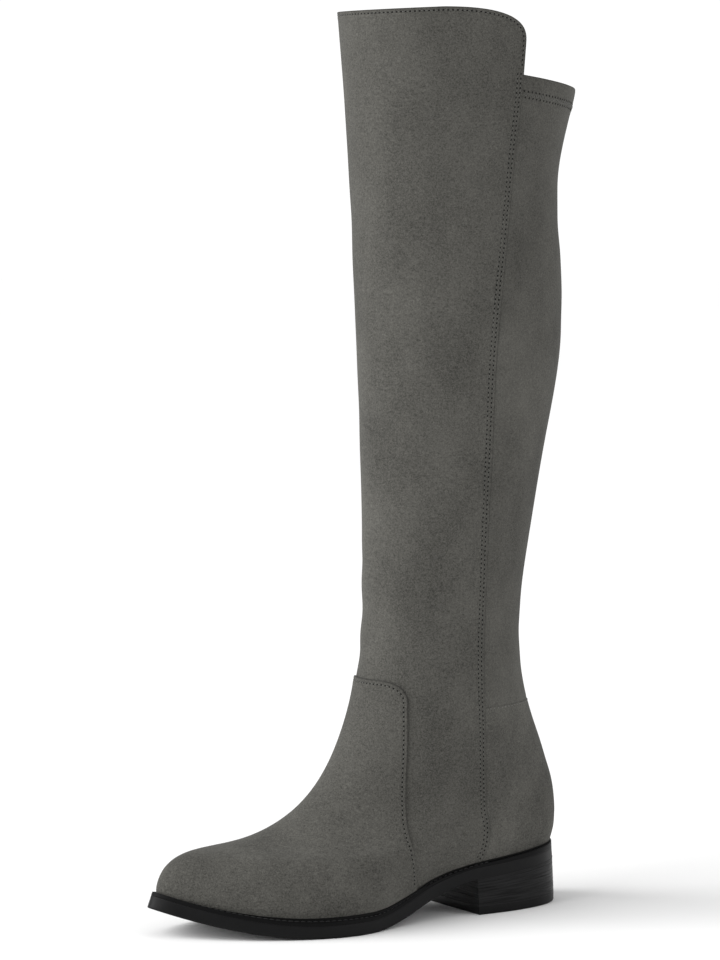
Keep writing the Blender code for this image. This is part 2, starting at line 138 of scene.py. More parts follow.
# Outline of the sole, a row for each station along its length
SOLE_STATIONS = table("from_heel swing half_width", (
    (0.0, 0.0, 0.0),
    (10.0, 0.3, 22.0),
    (29.0, 1.0, 30.5),
    (67.0, 2.5, 32.0),
    (106.0, 3.5, 31.0),
    (136.0, 5.0, 38.5),
    (163.0, 4.5, 46.2),
    (186.0, 2.0, 45.8),
    (211.0, -1.5, 39.5),
    (236.0, -6.5, 28.0),
    (253.5, -9.5, 15.5),
    (265.0, -11.0, 0.0),
))

# Sections of the foot of the last, bottom to top. front and back give the ends of a section, with
# their rise above the sole's seat. widest is where it is broadest, as a share of its length from
# the back, and nose is the exponent of its front end. sole_share is how far it keeps the sole's
# outline, front_x its front end's shift to the side, and dip lowers its flanks.
FOOT_COLUMNS = ("front_y front_rise back_y back_rise half_width widest nose sole_share front_x dip"
                " seam_y")
FOOT_SECTIONS = (
    (-220.6, 1.2, 30.6, 1.2, 38.4, 0.60, 2.2, 1.00, -11.0, 0.0, -32.5),
    (-220.9, 6.1, 32.2, 5.8, 39.3, 0.60, 2.2, 0.92, -11.0, 0.0, -29.6),
    (-217.8, 13.9, 33.8, 11.0, 41.2, 0.60, 2.1, 0.80, -11.0, 0.0, -28.0),
    (-211.0, 21.7, 34.8, 16.4, 41.2, 0.60, 2.1, 0.67, -11.0, 1.0, -27.2),
    (-199.5, 28.3, 35.4, 21.9, 40.2, 0.60, 2.0, 0.54, -11.0, 2.0, -26.8),
    (-184.0, 32.9, 35.4, 27.4, 38.6, 0.59, 2.0, 0.42, -10.5, 4.0, -26.8),
    (-166.0, 37.8, 34.8, 33.9, 36.8, 0.57, 2.0, 0.32, -9.5, 6.0, -27.4),
    (-147.0, 44.9, 33.0, 42.0, 35.4, 0.55, 2.0, 0.22, -8.0, 7.0, -28.8),
    (-128.8, 56.1, 29.4, 52.2, 34.6, 0.53, 2.0, 0.13, -6.0, 7.0, -29.8),
    (-113.4, 73.0, 24.4, 65.5, 34.4, 0.51, 2.0, 0.06, -4.0, 5.0, -30.9),
    (-101.6, 93.9, 17.2, 83.0, 35.0, 0.50, 2.0, 0.02, -2.0, 2.5, -32.0),
    (-92.4, 118.5, 10.4, 104.5, 36.4, 0.50, 2.0, 0.00, -1.0, 0.5, -34.2),
)

# height, front_y, back_y, half_width and seam_y of the shaft's level sections, plain ovals
SHAFT_SECTIONS = (
    (160.0, -87.8, 7.2, 37.4, -35.4),
    (190.0, -86.4, 8.4, 38.6, -35.0),
    (228.0, -86.0, 14.4, 41.4, -35.2),
    (276.0, -86.6, 23.0, 46.0, -35.4),
    (323.0, -88.0, 32.0, 50.0, -35.4),
    (370.0, -90.0, 33.6, 51.4, -32.0),
    (415.0, -92.6, 30.8, 50.8, -27.0),
    (447.0, -94.3, 33.4, 52.4, -24.4),
    (478.0, -96.0, 41.2, 56.4, -23.0),
    (508.0, -98.4, 46.0, 59.2, -21.8),
    (540.0, -101.0, 48.0, 61.4, -20.8),
)

# The collar from the side: the front panel stands higher than the back panel
COLLAR_HEIGHT = 528.0        # floor to the top of the front panel
COLLAR_ROUND_DEPTH = 50.0    # round of its upper rear corner, front to back ...
COLLAR_ROUND_HEIGHT = 19.0   # ... and top to bottom
COLLAR_ROUND_POWER = 2.5     # 2 is an ellipse, and over 2 is squarer
FRONT_DIP = 3.8              # how far the collar's line falls towards the front, from
FRONT_DIP_Y = (-70.0, -150.0)  # the first of these places to the second
DIP_FOOT = 440.0             # rows of the grid start to follow that fall at this height ...
DIP_EASE = 80.0              # ... and follow it wholly this much higher
FREE_EDGE_Y = -22.3          # the front panel's free edge, below that corner ...
FREE_EDGE_FOOT_Y = -22.9     # ... and where it meets the back panel's top
STEP_HEIGHT = 489.9          # height of that meeting point
FREE_EDGE_EASE = 12.0        # height over which the side seam eases into the free edge, below it
BACK_TOP_FALL = 0.125        # how steeply the back panel's top falls towards the back
FALL_FOOT = 400.0            # rows of the grid start to follow that fall at this height ...
FALL_POWER = 1.5             # ... and by this power of the way up
LEVEL_FROM = 200.0           # height above which every section of the last is level
COUNTER_TOP = 122.5          # height of the ankle seam between counter and back panel

# The vamp's rear edge from the side, from the sole up to its rounded corner
VAMP_EDGE = table("height edge_y", (
    (4.0, -75.0),
    (30.0, -81.8),
    (48.0, -85.4),
    (66.0, -84.9),
    (97.0, -82.0),
    (128.5, -80.6),
))
VAMP_ROUND = 11.5            # radius of that corner

# Rough radii, for turns from lengths
LEG_RADIUS = 45.0
HEEL_RADIUS = 40.0

# Fineness of the searches on the last
SHAFT_SAMPLES = 400
EVEN_SAMPLES = 600
NEAREST_ROUNDS = 6
SETTLE_ROUNDS = 8

# Distances of the fine grid lines from a panel's edge
EDGE_COLUMNS = np.array([0.0, 0.7, 1.3, 1.8, 2.3, 2.8, 3.4, 4.0, 4.6, 5.2, 6.0, 7.2])
BACK_EDGE_COLUMNS = np.array([0.0, 1.2, 2.2, 3.4, 5.0])


class Sole:
    """Outline and profile of the sole, read at places along the boot."""

    def __init__(self) -> None:
        """Solves the outline, closed round both ends by mirrored stations."""
        turn = np.arccos(1 - 2 * SOLE_STATIONS["from_heel"] / SOLE_LENGTH)
        swing = SOLE_STATIONS["swing"]
        half = SOLE_STATIONS["half_width"]
        knots = np.concatenate([-turn[3:0:-1], turn, 2 * math.pi - turn[-2:-5:-1]])
        swing = np.concatenate([swing[3:0:-1], swing, swing[-2:-5:-1]])
        half = np.concatenate([-half[3:0:-1], half, -half[-2:-5:-1]])
        self.both = Spline(knots, np.stack([swing, half], axis=1))

    def outline(self, half_turn: Array) -> Grid:
        """Swing and half-width where the length is read as a half turn, 0 at the heel."""
        both = self.both(half_turn)
        return both[..., 0], both[..., 1]

    def underside(self, y: Array) -> Array:
        """Height of the outsole's underside: heel seat, waist, flat tread and toe spring.

        Args:
            y: Places along the boot.

        Returns:
            Heights, one for each place.
        """
        from_heel = HEEL_BACK_Y - np.asarray(y, float)
        toe = np.clip((from_heel - TREAD_START) / (SOLE_LENGTH - TREAD_START), 0, None)
        waist = np.clip((TREAD_END - from_heel) / (TREAD_END - BREAST), 0, 1)
        eased = waist ** 2 * (3 - 2 * waist)
        arch = ARCH_EASE * eased + (1 - ARCH_EASE) * waist ** ARCH_POWER
        seat = np.clip((BREAST - from_heel) / BREAST, 0, None)
        return TOE_SPRING * toe ** 2 + HEEL_HEIGHT * arch + SEAT_RISE * seat

    def slope(self, y: Array) -> Array:
        """Slope of the underside along Y, read over a millimetre."""
        return self.underside(y + 0.5) - self.underside(y - 0.5)

    def above(self, y: Array, depth: float) -> Array:
        """Height of a face a given depth above the underside, square to it."""
        return self.underside(y) + depth * np.sqrt(1 + self.slope(y) ** 2)

    def seat(self, y: Array) -> Array:
        """Height of the face that the welt and the insole lie on."""
        return self.above(y, OUTSOLE_THICK + GAP)

    def points(self, turns: Array, inset: float) -> Array:
        """Plan of the sole at turns round it from the back of the heel.

        Args:
            turns: Turns in radians, which run over the outer side.
            inset: How far the outline is drawn in.

        Returns:
            Points (X, Y), one for each turn.
        """
        half_turn, side = fold_turn(turns)
        swing, half = self.outline(half_turn)
        y = HEEL_BACK_Y - SOLE_LENGTH * (1 - np.cos(half_turn)) / 2
        points = np.stack([swing + side * half, y], axis=1)
        share = np.interp(y, WAIST_LEDGE_Y, [0.0, 1.0, 0.0])
        ledge = WAIST_LEDGE * share ** 2 * (3 - 2 * share)
        return points + plan_outward(points) * (ledge - inset)[:, None]

    def ring(self, turns: Array, inset: float, depth: float) -> Array:
        """Ring round the sole, square to its underside.

        Args:
            turns: Turns round the sole.
            inset: How far the ring is drawn in.
            depth: Its depth above the underside.

        Returns:
            Points, one for each turn.
        """
        points = self.points(turns, inset)
        slope = self.slope(points[:, 1])
        y = points[:, 1] - depth * slope / np.sqrt(1 + slope ** 2)
        return np.column_stack([points[:, 0], y, self.above(y, depth)])


def fold_turn(turn: Array) -> Grid:
    """A turn as a half turn from the back, 0 to pi, with its side, 1 or -1."""
    return np.abs((turn + math.pi) % (2 * math.pi) - math.pi), np.where(np.sin(turn) >= 0, 1.0, -1.0)


def plan_outward(ring: Array) -> Array:
    """Plan directions that point out of a closed ring.

    Args:
        ring: Points (X, Y) of the ring, in order.

    Returns:
        A direction of length one for each point.
    """
    tangent = np.roll(ring, -1, axis=0) - np.roll(ring, 1, axis=0)
    normal = np.stack([-tangent[:, 1], tangent[:, 0]], axis=1)
    return normal / np.linalg.norm(normal, axis=1)[:, None]


def unit(vectors: Array) -> Array:
    """Vectors at length one."""
    return vectors / np.maximum(np.linalg.norm(vectors, axis=-1, keepdims=True), 1e-12)


def ramp(value: Array, start: float, length: float) -> Array:
    """0 up to a start, then rising evenly to 1 over a length."""
    return np.clip((value - start) / length, 0, 1)


def run_length(path: Array) -> Array:
    """Length along a path up to each of its points."""
    return np.concatenate([[0.0], np.cumsum(np.linalg.norm(np.diff(path, axis=0), axis=1))])


def read_path(at: Array, length: Array, path: Array) -> Array:
    """Points of a path at lengths along it, where length is what run_length gave."""
    return np.stack([np.interp(at, length, path[:, axis]) for axis in range(3)], axis=1)


class Last:
    """Surface of the last. A place counts in rows of its table, from the feather line up, and a
    turn runs from the back over the outer side, in radians."""

    def __init__(self, sole: Sole) -> None:
        """Solves the table of sections.

        Args:
            sole: The sole that the foot of the last stands on.
        """
        self.sole = sole
        rows = []
        for row in FOOT_SECTIONS:
            section = dict(zip(FOOT_COLUMNS.split(), row))
            front_z = sole.seat(section["front_y"]) + section.pop("front_rise")
            back_z = sole.seat(section["back_y"]) + section.pop("back_rise")
            rows.append([front_z, back_z, *section.values()])
        for height, front_y, back_y, half_width, seam_y in SHAFT_SECTIONS:
            rows.append([height, height, front_y, back_y, half_width, 0.5, 2.0, 0.0, 0.0, 0.0, seam_y])
        self.sections = Spline(np.arange(len(rows)), np.array(rows, float))
        self.shaft_places = np.linspace(len(FOOT_SECTIONS), len(rows) - 1, SHAFT_SAMPLES)
        self.shaft_heights = self.sections(self.shaft_places)[:, 0]

    def surface(self, place: Array, turn: Array) -> Array:
        """Points of the surface.

        Args:
            place: Places.
            turn: Turns, of a shape that fits that of place.

        Returns:
            Points, with one more axis than the places and turns.
        """
        place, turn = np.broadcast_arrays(np.asarray(place, float), np.asarray(turn, float))
        (front_z, back_z, front_y, back_y, half_width, widest, nose, share, front_x, dip,
         _seam_y) = np.moveaxis(self.sections(place), -1, 0)
        half_turn, side = fold_turn(turn)
        along = (1 - np.cos(half_turn)) / 2
        y = back_y + (front_y - back_y) * along
        behind = np.clip((widest - along) / widest, 0, 1)
        before = np.clip((along - widest) / (1 - widest), 0, 1)
        egg = np.where(along < widest, np.sqrt(1 - behind ** 2), (1 - before ** nose) ** (1 / nose))
        swing, sole_half = self.sole.outline(half_turn)
        half = half_width * (share * sole_half / BALL_HALF_WIDTH + (1 - share) * egg)
        middle = share * swing + (1 - share) * front_x * along ** 2
        start = back_z - share * self.sole.seat(back_y)
        end = front_z - share * self.sole.seat(front_y)
        z = share * self.sole.seat(y) + start + (end - start) * along - dip * np.sin(half_turn) ** 2
        return np.stack([middle + side * half, y, z], axis=-1)

    def slopes(self, place: Array, turn: Array) -> Grid:
        """Change of the surface with place and with turn.

        Args:
            place: Places.
            turn: Turns.

        Returns:
            Change with place, and change with turn.
        """
        step = 1e-3
        up = (self.surface(place + step, turn) - self.surface(place - step, turn)) / (2 * step)
        round_it = (self.surface(place, turn + step) - self.surface(place, turn - step)) / (2 * step)
        return up, round_it

    def normal(self, place: Array, turn: Array) -> Array:
        """Directions that point out of the surface."""
        up, round_it = self.slopes(place, turn)
        return unit(np.cross(up, round_it))

    def lifted(self, place: Array, turn: Array, away: Array | float) -> Array:
        """Points a distance away from the surface, along its normals."""
        away = np.broadcast_to(away, np.shape(place))
        return self.surface(place, turn) + self.normal(place, turn) * away[..., None]

    def height_place(self, height: Array) -> Array:
        """Place of the shaft's level section at a height."""
        return np.interp(height, self.shaft_heights, self.shaft_places)

    def place_height(self, place: Array) -> Array:
        """Height of the shaft's level section at a place, and 0 in the foot."""
        return np.interp(place, self.shaft_places, self.shaft_heights, left=0.0)

    def turn_at(self, place: Array, y: Array) -> Array:
        """Half turn at which the section of a place crosses a Y."""
        front_y, back_y = np.moveaxis(self.sections(place)[..., 2:4], -1, 0)
        return np.arccos(np.clip(1 - 2 * (back_y - y) / (back_y - front_y), -1, 1))

    def seam_turn(self, place: Array) -> Array:
        """Half turn of the side seam.

        Args:
            place: Places to read it at.

        Returns:
            Half turns, one for each place.
        """
        height = self.place_height(place)
        seam_y = self.sections(place)[..., -1]
        free = np.interp(height, (STEP_HEIGHT, COLLAR_HEIGHT - COLLAR_ROUND_HEIGHT),
                         (FREE_EDGE_FOOT_Y, FREE_EDGE_Y))
        blend = np.clip((height - STEP_HEIGHT + FREE_EDGE_EASE) / FREE_EDGE_EASE, 0, 1)
        return self.turn_at(place, seam_y + (free - seam_y) * blend)

    def nearest(self, points: Array, place: Array, turn: Array,
                away: float) -> Grid:
        """Slides over the surface to where it lies nearest to points.

        Args:
            points: Points to come near.
            place: Places to start from.
            turn: Turns to start from.
            away: How far outside the surface the points are.

        Returns:
            The places and turns reached.
        """
        for _ in range(NEAREST_ROUNDS):
            miss = points - self.lifted(place, turn, away)
            up, round_it = self.slopes(place, turn)
            uu, rr, ur = (up * up).sum(-1), (round_it * round_it).sum(-1), (up * round_it).sum(-1)
            u, r = (miss * up).sum(-1), (miss * round_it).sum(-1)
            area = uu * rr - ur ** 2
            place = place + np.clip((u * rr - r * ur) / area, -0.4, 0.4)
            turn = turn + np.clip((r * uu - u * ur) / area, -0.3, 0.3)
        return place, turn

    def settle_height(self, place: Array, turn: Array, height: Array | float,
                      away: float) -> Array:
        """Places at which the lifted surface has a height.

        Args:
            place: Places to start from.
            turn: Turn of each place.
            height: Height to reach.
            away: How far the surface is lifted.

        Returns:
            Places, one for each turn.
        """
        step = 1e-2
        for _ in range(SETTLE_ROUNDS):
            here = self.lifted(place, turn, away)[..., 2]
            rate = (self.lifted(place + step, turn, away)[..., 2] - here) / step
            place = place + np.clip((height - here) / rate, -0.5, 0.5)
        return place

    def even_places(self, start: float, end: float, spacing: float) -> Array:
        """Places that lie evenly on the surface.

        Args:
            start: First place.
            end: Last place.
            spacing: Largest distance between two of them.

        Returns:
            The places.
        """
        fine = np.linspace(start, end, EVEN_SAMPLES)
        turns = np.array([0.0, math.pi / 2, math.pi])
        grid = self.surface(fine[:, None], turns[None, :])
        steps = np.linalg.norm(np.diff(grid, axis=0), axis=-1).max(axis=1)
        length = np.concatenate([[0.0], np.cumsum(steps)])
        count = int(math.ceil(length[-1] / spacing))
        return np.interp(np.linspace(0, length[-1], count + 1), length, fine)


# --- Meshes --------------------------------------------------------------------------------------

PANEL_SHARP = 60.0           # an edge of a panel or a stitch stays sharp above this angle, in degrees
SOLE_SHARP = 50.0            # the same for the sole and the heel

def make_piece(name: str, points: Array, faces: Iterable[Sequence[int]],
               finish: "Finish", stands_for: Sequence[str] = (),
               shades: dict[str, Array] | None = None,
               flat_above: float = PANEL_SHARP) -> None:
    """A piece of the boot, riding on its body.

    Args:
        name: Name of the piece.
        points: Vertices in millimetres.
        faces: Faces as vertex numbers.
        finish: Its finish.
        stands_for: CAD nodes that the piece stands for.
        shades: Values for each vertex, by name, that its material reads.
        flat_above: Angle in degrees above which an edge stays sharp.
    """
    mesh = bpy.data.meshes.new(name)
    mesh.from_pydata((points * MM).tolist(), [], [tuple(map(int, face)) for face in faces])
    mesh.validate()
    mesh.shade_smooth()
    mesh.set_sharp_from_angle(angle=math.radians(flat_above))
    for key, values in (shades or {}).items():
        layer = mesh.attributes.new(key, "FLOAT", "POINT")
        layer.data.foreach_set("value", np.asarray(values, np.float32))
    mesh.materials.append(finish.material())
    piece = bpy.data.objects.new(name, mesh)
    bpy.context.scene.collection.objects.link(piece)
    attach(piece, "root")
    if stands_for:
        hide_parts(*stands_for)
    LOG.info("%s: %d vertices, %d faces", name, len(mesh.vertices), len(mesh.polygons))


def grid_quads(ids: Array, flip: bool = False) -> Array:
    """Quads of a grid of vertex numbers."""
    quads = np.stack([ids[:-1, :-1], ids[:-1, 1:], ids[1:, 1:], ids[1:, :-1]], axis=-1).reshape(-1, 4)
    return quads[:, ::-1] if flip else quads


def strip_quads(rings: Sequence[Array]) -> Array:
    """Quads between closed rings of vertex numbers.

    Args:
        rings: The rings, in order and of one length.

    Returns:
        One row of four vertex numbers for each quad.
    """
    ids = np.asarray(rings)
    ahead = np.roll(ids, -1, axis=1)
    return np.stack([ids[:-1], ahead[:-1], ahead[1:], ids[1:]], axis=-1).reshape(-1, 4)


def zip_rows(near: Sequence[int], far: Sequence[int], flip: bool = False) -> list[list[int]]:
    """Triangles between two rows of vertices whose counts differ, as at a tip.

    Args:
        near: Vertex numbers of one row.
        far: Vertex numbers of the other, read the same way.
        flip: Whether the triangles are turned over.

    Returns:
        Three vertex numbers for each triangle.
    """
    faces = []
    i = j = 0
    last_i, last_j = len(near) - 1, len(far) - 1
    while i < last_i or j < last_j:
        if j == last_j or (i < last_i and (i + 1) * last_j <= (j + 1) * last_i):
            faces.append([near[i], near[i + 1], far[j]])
            i += 1
        else:
            faces.append([near[i], far[j + 1], far[j]])
            j += 1
    return [face[::-1] for face in faces] if flip else faces


def rim_of(rows: int, columns: int) -> tuple[Array, Array, Array, Array]:
    """Finds a grid's rim, in order round it, and the vertices just inside it.

    Args:
        rows: Number of rows.
        columns: Number of columns.

    Returns:
        Rows and columns of the rim, then rows and columns of the vertices inside it.
    """
    r = np.concatenate([np.zeros(columns - 1, int), np.arange(rows - 1),
                        np.full(columns - 1, rows - 1), np.arange(rows - 1, 0, -1)])
    c = np.concatenate([np.arange(columns - 1), np.full(rows - 1, columns - 1),
                        np.arange(columns - 1, 0, -1), np.zeros(rows - 1, int)])
    return r, c, np.clip(r, 1, rows - 2), np.clip(c, 1, columns - 2)


@dataclass
class Panel:
    """A cut panel laid on the last: a grid of places and turns with a wall of its own.

    Attributes:
        last: The last that it lies on.
        place: Places of the grid.
        turn: Turns of the grid.
        outer: Distance of its face from the last, before relief.
        inner: Distance of its back from the last.
        edge_round: Radius of its folded edge.
    """

    last: Last
    place: Array
    turn: Array
    outer: float
    inner: float
    edge_round: float = 0.45

    def rim_distance(self, reach: float = 9.0) -> Array:
        """Distance of each vertex from the panel's rim.

        Args:
            reach: Largest distance that is measured.

        Returns:
            Distances, in the shape of the grid.
        """
        points = self.last.lifted(self.place, self.turn, self.outer)
        r, c, _, _ = rim_of(*self.place.shape)
        rim = points[r, c]
        following = np.roll(rim, -1, axis=0)
        best = np.full(self.place.size, reach)
        flat = points.reshape(-1, 3)
        for start, end in zip(rim, following):
            span = end - start
            length = max(float(span @ span), 1e-9)
            low = np.minimum(start, end) - reach
            high = np.maximum(start, end) + reach
            near = np.flatnonzero(((flat > low) & (flat < high)).all(axis=1))
            share = np.clip((flat[near] - start) @ span / length, 0, 1)
            gap = np.linalg.norm(flat[near] - start - share[:, None] * span, axis=1)
            best[near] = np.minimum(best[near], gap)
        return best.reshape(self.place.shape)

    def build(self, name: str, finish: "Finish", node: str, relief: Array,
              rim: Array, slot: str = "suede") -> None:
        """Makes the closed panel: its face with relief, its rounded rim and its back.

        Args:
            name: Name of the piece.
            finish: Its finish.
            node: CAD node that it stands for.
            relief: Height of the face above outer, for each vertex.
            rim: Distance of each vertex from the rim, which the finish reads.
            slot: Name of a material slot; not used.
        """
        normal = self.last.normal(self.place, self.turn)
        base = self.last.surface(self.place, self.turn)
        face = base + normal * (self.outer + relief)[..., None]
        back = base + normal * self.inner
        rows, columns = self.place.shape
        r, c, ri, ci = rim_of(rows, columns)
        out = normal[r, c]
        tangent = unit(np.roll(face[r, c], -1, axis=0) - np.roll(face[r, c], 1, axis=0))
        away = face[r, c] - face[ri, ci]
        away -= (away * tangent).sum(-1, keepdims=True) * tangent
        away -= (away * out).sum(-1, keepdims=True) * out
        away = unit(away)
        edge = face[r, c].copy()
        size = self.edge_round
        face[r, c] = edge - away * size
        rounds = [edge - away * size * (1 - math.sin(a)) - out * size * (1 - math.cos(a))
                  for a in np.radians((30.0, 60.0, 90.0))]
        face_ids = np.arange(rows * columns).reshape(rows, columns)
        back_ids = face_ids + rows * columns
        points = [face.reshape(-1, 3), back.reshape(-1, 3), *rounds]
        count = len(r)
        start = 2 * rows * columns
        rings = [face_ids[r, c]] + [start + k * count + np.arange(count) for k in range(len(rounds))]
        rings.append(back_ids[r, c])
        faces = [*grid_quads(face_ids, flip=True), *grid_quads(back_ids), *strip_quads(rings)]
        zero = np.zeros(len(rounds) * count)
        shade = np.concatenate([rim.ravel(), np.zeros(rows * columns), zero])
        make_piece(name, np.concatenate(points), faces, finish, (node,), {"rim": shade})


# --- Stitching -----------------------------------------------------------------------------------

@dataclass
class Row:
    """A row of stitches on the last: a route with the surface's own directions.

    Attributes:
        points: Middle of each stitch, in millimetres.
        along: Direction of each stitch.
        out: Direction out of the panel.
    """

    points: Array
    along: Array
    out: Array

    @classmethod
    def lay(cls, last: Last, place: Array, turn: Array, away: float, pitch: float) -> "Row":
        """Spaces stitches evenly along a route.

        Args:
            last: The last.
            place: Places of the route.
            turn: Turns of the route.
            away: Height of the panel's face above the last.
            pitch: Length from one stitch to the next.

        Returns:
            The row.
        """
        path = last.lifted(place, turn, away)
        length = run_length(path)
        count = max(int(length[-1] / pitch), 1)
        middles = (np.arange(count) + 0.5) * length[-1] / count

        def read(at: Array) -> Grid:
            """Place and turn at lengths along the route."""
            return np.interp(at, length, place), np.interp(at, length, turn)

        here = read(middles)
        ahead = last.lifted(*read(middles + pitch / 4), away)
        behind = last.lifted(*read(middles - pitch / 4), away)
        return cls(last.lifted(*here, away), unit(ahead - behind), last.normal(*here))

    def joined(self, other: "Row") -> "Row":
        """This row and another one as one."""
        return Row(*(np.concatenate(pair) for pair in
                     zip((self.points, self.along, self.out), (other.points, other.along, other.out))))


def inset_route(panel: Panel, place: Array, turn: Array, inside_place: Array,
                inside_turn: Array, inset: float) -> Grid:
    """Route that keeps a distance inside part of a panel's rim.

    Args:
        panel: The panel.
        place: Places of the rim.
        turn: Turns of the rim.
        inside_place: Places of grid vertices inside that rim.
        inside_turn: Turns of those vertices.
        inset: The distance.

    Returns:
        Places and turns of the route.
    """
    last = panel.last
    rim = last.lifted(place, turn, panel.outer)
    inside = last.lifted(inside_place, inside_turn, panel.outer)
    tangent = unit(np.gradient(rim, axis=0))
    out = last.normal(place, turn)
    inward = np.cross(tangent, out)
    inward *= np.sign(((inside - rim) * inward).sum(-1, keepdims=True).sum())
    return last.nearest(rim + unit(inward) * inset, place.copy(), turn.copy(), panel.outer)


@dataclass(frozen=True)
class Stitch:
    """Size of one stitch, in millimetres.

    Attributes:
        pitch: Length from one stitch to the next.
        length: Length of the thread that shows.
        radius: Thickness of the thread, halved.
        hole: Half-length of the dark cap of painted hole shade at each end.
        sink: How deep the thread's middle lies in the face.
    """

    pitch: float = 2.7
    length: float = 1.7
    radius: float = 0.27
    hole: float = 0.66
    sink: float = 0.05

    def thread(self) -> Shape:
        """One arched thread.

        Returns:
            Its vertices and faces.
        """
        sides, steps = 6, 6
        rise, foot = 0.22, 0.12
        t = np.linspace(-1, 1, steps + 1)
        thick = self.radius * np.sqrt(np.clip(1 - np.abs(t) ** 5, 0.02, 1))
        arch = rise * (1 - t ** 2) - foot - self.sink
        turn = np.arange(sides) * 2 * math.pi / sides
        local = np.stack([
            np.repeat(t * self.length / 2, sides),
            (thick[:, None] * np.cos(turn)).ravel(),
            (arch[:, None] + thick[:, None] * np.sin(turn)).ravel(),
        ], axis=1)
        ids = np.arange(len(local)).reshape(-1, sides)
        return local, [*strip_quads(ids), ids[0][::-1], ids[-1]]

    def hole_shade_cap(self) -> Shape:
        """One near-black cap at the end of a stitch: painted shade that stands for the shadow in a
        needle hole.

        Returns:
            Its vertices and faces.
        """
        sides, half_width = 8, 0.5
        rings = ((1.0, -0.12), (0.8, 0.035), (0.4, 0.06))
        turn = np.arange(sides) * 2 * math.pi / sides
        local = np.concatenate([np.stack([
            self.hole * size * np.cos(turn) + self.pitch / 2,
            half_width * size * np.sin(turn),
            np.full(sides, height),
        ], axis=1) for size, height in rings])
        ids = np.arange(len(local)).reshape(-1, sides)
        return local, [*strip_quads(ids), ids[0][::-1], ids[-1]]


def spread(row: Row, shape: Shape, name: str, finish: "Finish") -> None:
    """Copies a small shape to each stitch of a row, as one mesh.

    Args:
        row: The row.
        shape: Its vertices, along the row, across it and out of the panel, and its faces.
        name: Name of the piece.
        finish: Its finish.
    """
    local, faces = shape
    across = np.cross(row.out, row.along)
    axes = np.stack([row.along, across, row.out], axis=1)
    points = row.points[:, None, :] + np.einsum("vk,nkx->nvx", local, axes)
    copies = [[index + i * len(local) for index in face]
              for i in range(len(row.points)) for face in faces]
    make_piece(name, points.reshape(-1, 3), copies, finish)


# --- Finishes ------------------------------------------------------------------------------------

class Tree:
    """A node tree with a short way to add nodes."""

    def __init__(self, tree: bpy.types.NodeTree) -> None:
        """Wraps a node tree."""
        self.tree = tree

    def add(self, kind: str, inputs: dict | None = None, **settings: object) -> bpy.types.Node:
        """Adds a node.

        Args:
            kind: Its type, without the ShaderNode in front.
            inputs: A value or a socket for each of its inputs, by name or number.
            **settings: Its own settings.

        Returns:
            The node.
        """
        node = self.tree.nodes.new("ShaderNode" + kind)
        for key, value in settings.items():
            setattr(node, key, value)
        for key, value in (inputs or {}).items():
            if isinstance(value, bpy.types.NodeSocket):
                self.tree.links.new(value, node.inputs[key])
            else:
                node.inputs[key].default_value = value
        return node

    def math(self, operation: str, *values: Socket | float, clamp: bool = False) -> Socket:
        """A Math node's result."""
        node = self.add("Math", dict(enumerate(values)), operation=operation, use_clamp=clamp)
        return node.outputs[0]

    def range(self, value: Socket, source: Pair, target: Pair) -> Socket:
        """A value taken smoothly from one range to another.

        Args:
            value: The value.
            source: The range it comes from.
            target: The range it goes to.

        Returns:
            The value in the new range.
        """
        node = self.add("MapRange", {"Value": value, "From Min": source[0], "From Max": source[1],
                                     "To Min": target[0], "To Max": target[1]},
                        interpolation_type="SMOOTHSTEP")
        return node.outputs["Result"]

    def departure(self, value: Socket, weight: Socket | float) -> Socket:
        """How far a value departs from 0.5, times a weight."""
        return self.math("MULTIPLY", self.math("SUBTRACT", value, 0.5), weight)

    def noise(self, place: Socket, scale: Socket | float, detail: float = 2.0,
              stretch: tuple[float, float, float] | None = None) -> Socket:
        """Noise at a place.

        Args:
            place: Vector socket of the place.
            scale: Scale of the noise.
            detail: Number of its octaves.
            stretch: Scales of X, Y and Z, if the place is stretched first.

        Returns:
            A socket with values from 0 to 1.
        """
        if stretch:
            place = self.add("Mapping", {"Vector": place, "Scale": stretch}).outputs["Vector"]
        node = self.add("TexNoise", {"Vector": place, "Scale": scale, "Detail": detail,
                                     "Roughness": 0.55})
        return node.outputs["Fac"]

    def mix(self, factor: Socket | float, first: Socket | tuple, second: Socket | tuple,
            blend: str = "MIX") -> Socket:
        """A mix of two colours."""
        node = self.add("Mix", {0: factor, 6: first, 7: second}, data_type="RGBA", blend_type=blend)
        return node.outputs[2]

    def put(self, node: bpy.types.Node, **sockets: Socket) -> bpy.types.NodeTree:
        """Links sockets to a node's inputs.

        Args:
            node: The node.
            sockets: Its inputs by name, and what goes into each.

        Returns:
            The plain tree.
        """
        for name, socket in sockets.items():
            self.tree.links.new(socket, node.inputs[name])
        return self.tree


def new_group(name: str, inputs: Sequence[tuple[str, str, object]],
              outputs: Sequence[tuple[str, str]]) -> tuple[Tree, dict[str, Socket], bpy.types.Node]:
    """An empty node group.

    Args:
        name: Its name.
        inputs: Name, socket type and default of each input.
        outputs: Name and socket type of each output.

    Returns:
        Its tree, its inputs' sockets by name, and its output node.
    """
    group = bpy.data.node_groups.new(name, "ShaderNodeTree")
    for label, kind, default in inputs:
        made = group.interface.new_socket(name=label, in_out="INPUT", socket_type="NodeSocket" + kind)
        made.default_value = default
    for label, kind in outputs:
        group.interface.new_socket(name=label, in_out="OUTPUT", socket_type="NodeSocket" + kind)
    start = group.nodes.new("NodeGroupInput")
    end = group.nodes.new("NodeGroupOutput")
    return Tree(group), {socket.name: socket for socket in start.outputs if socket.name}, end


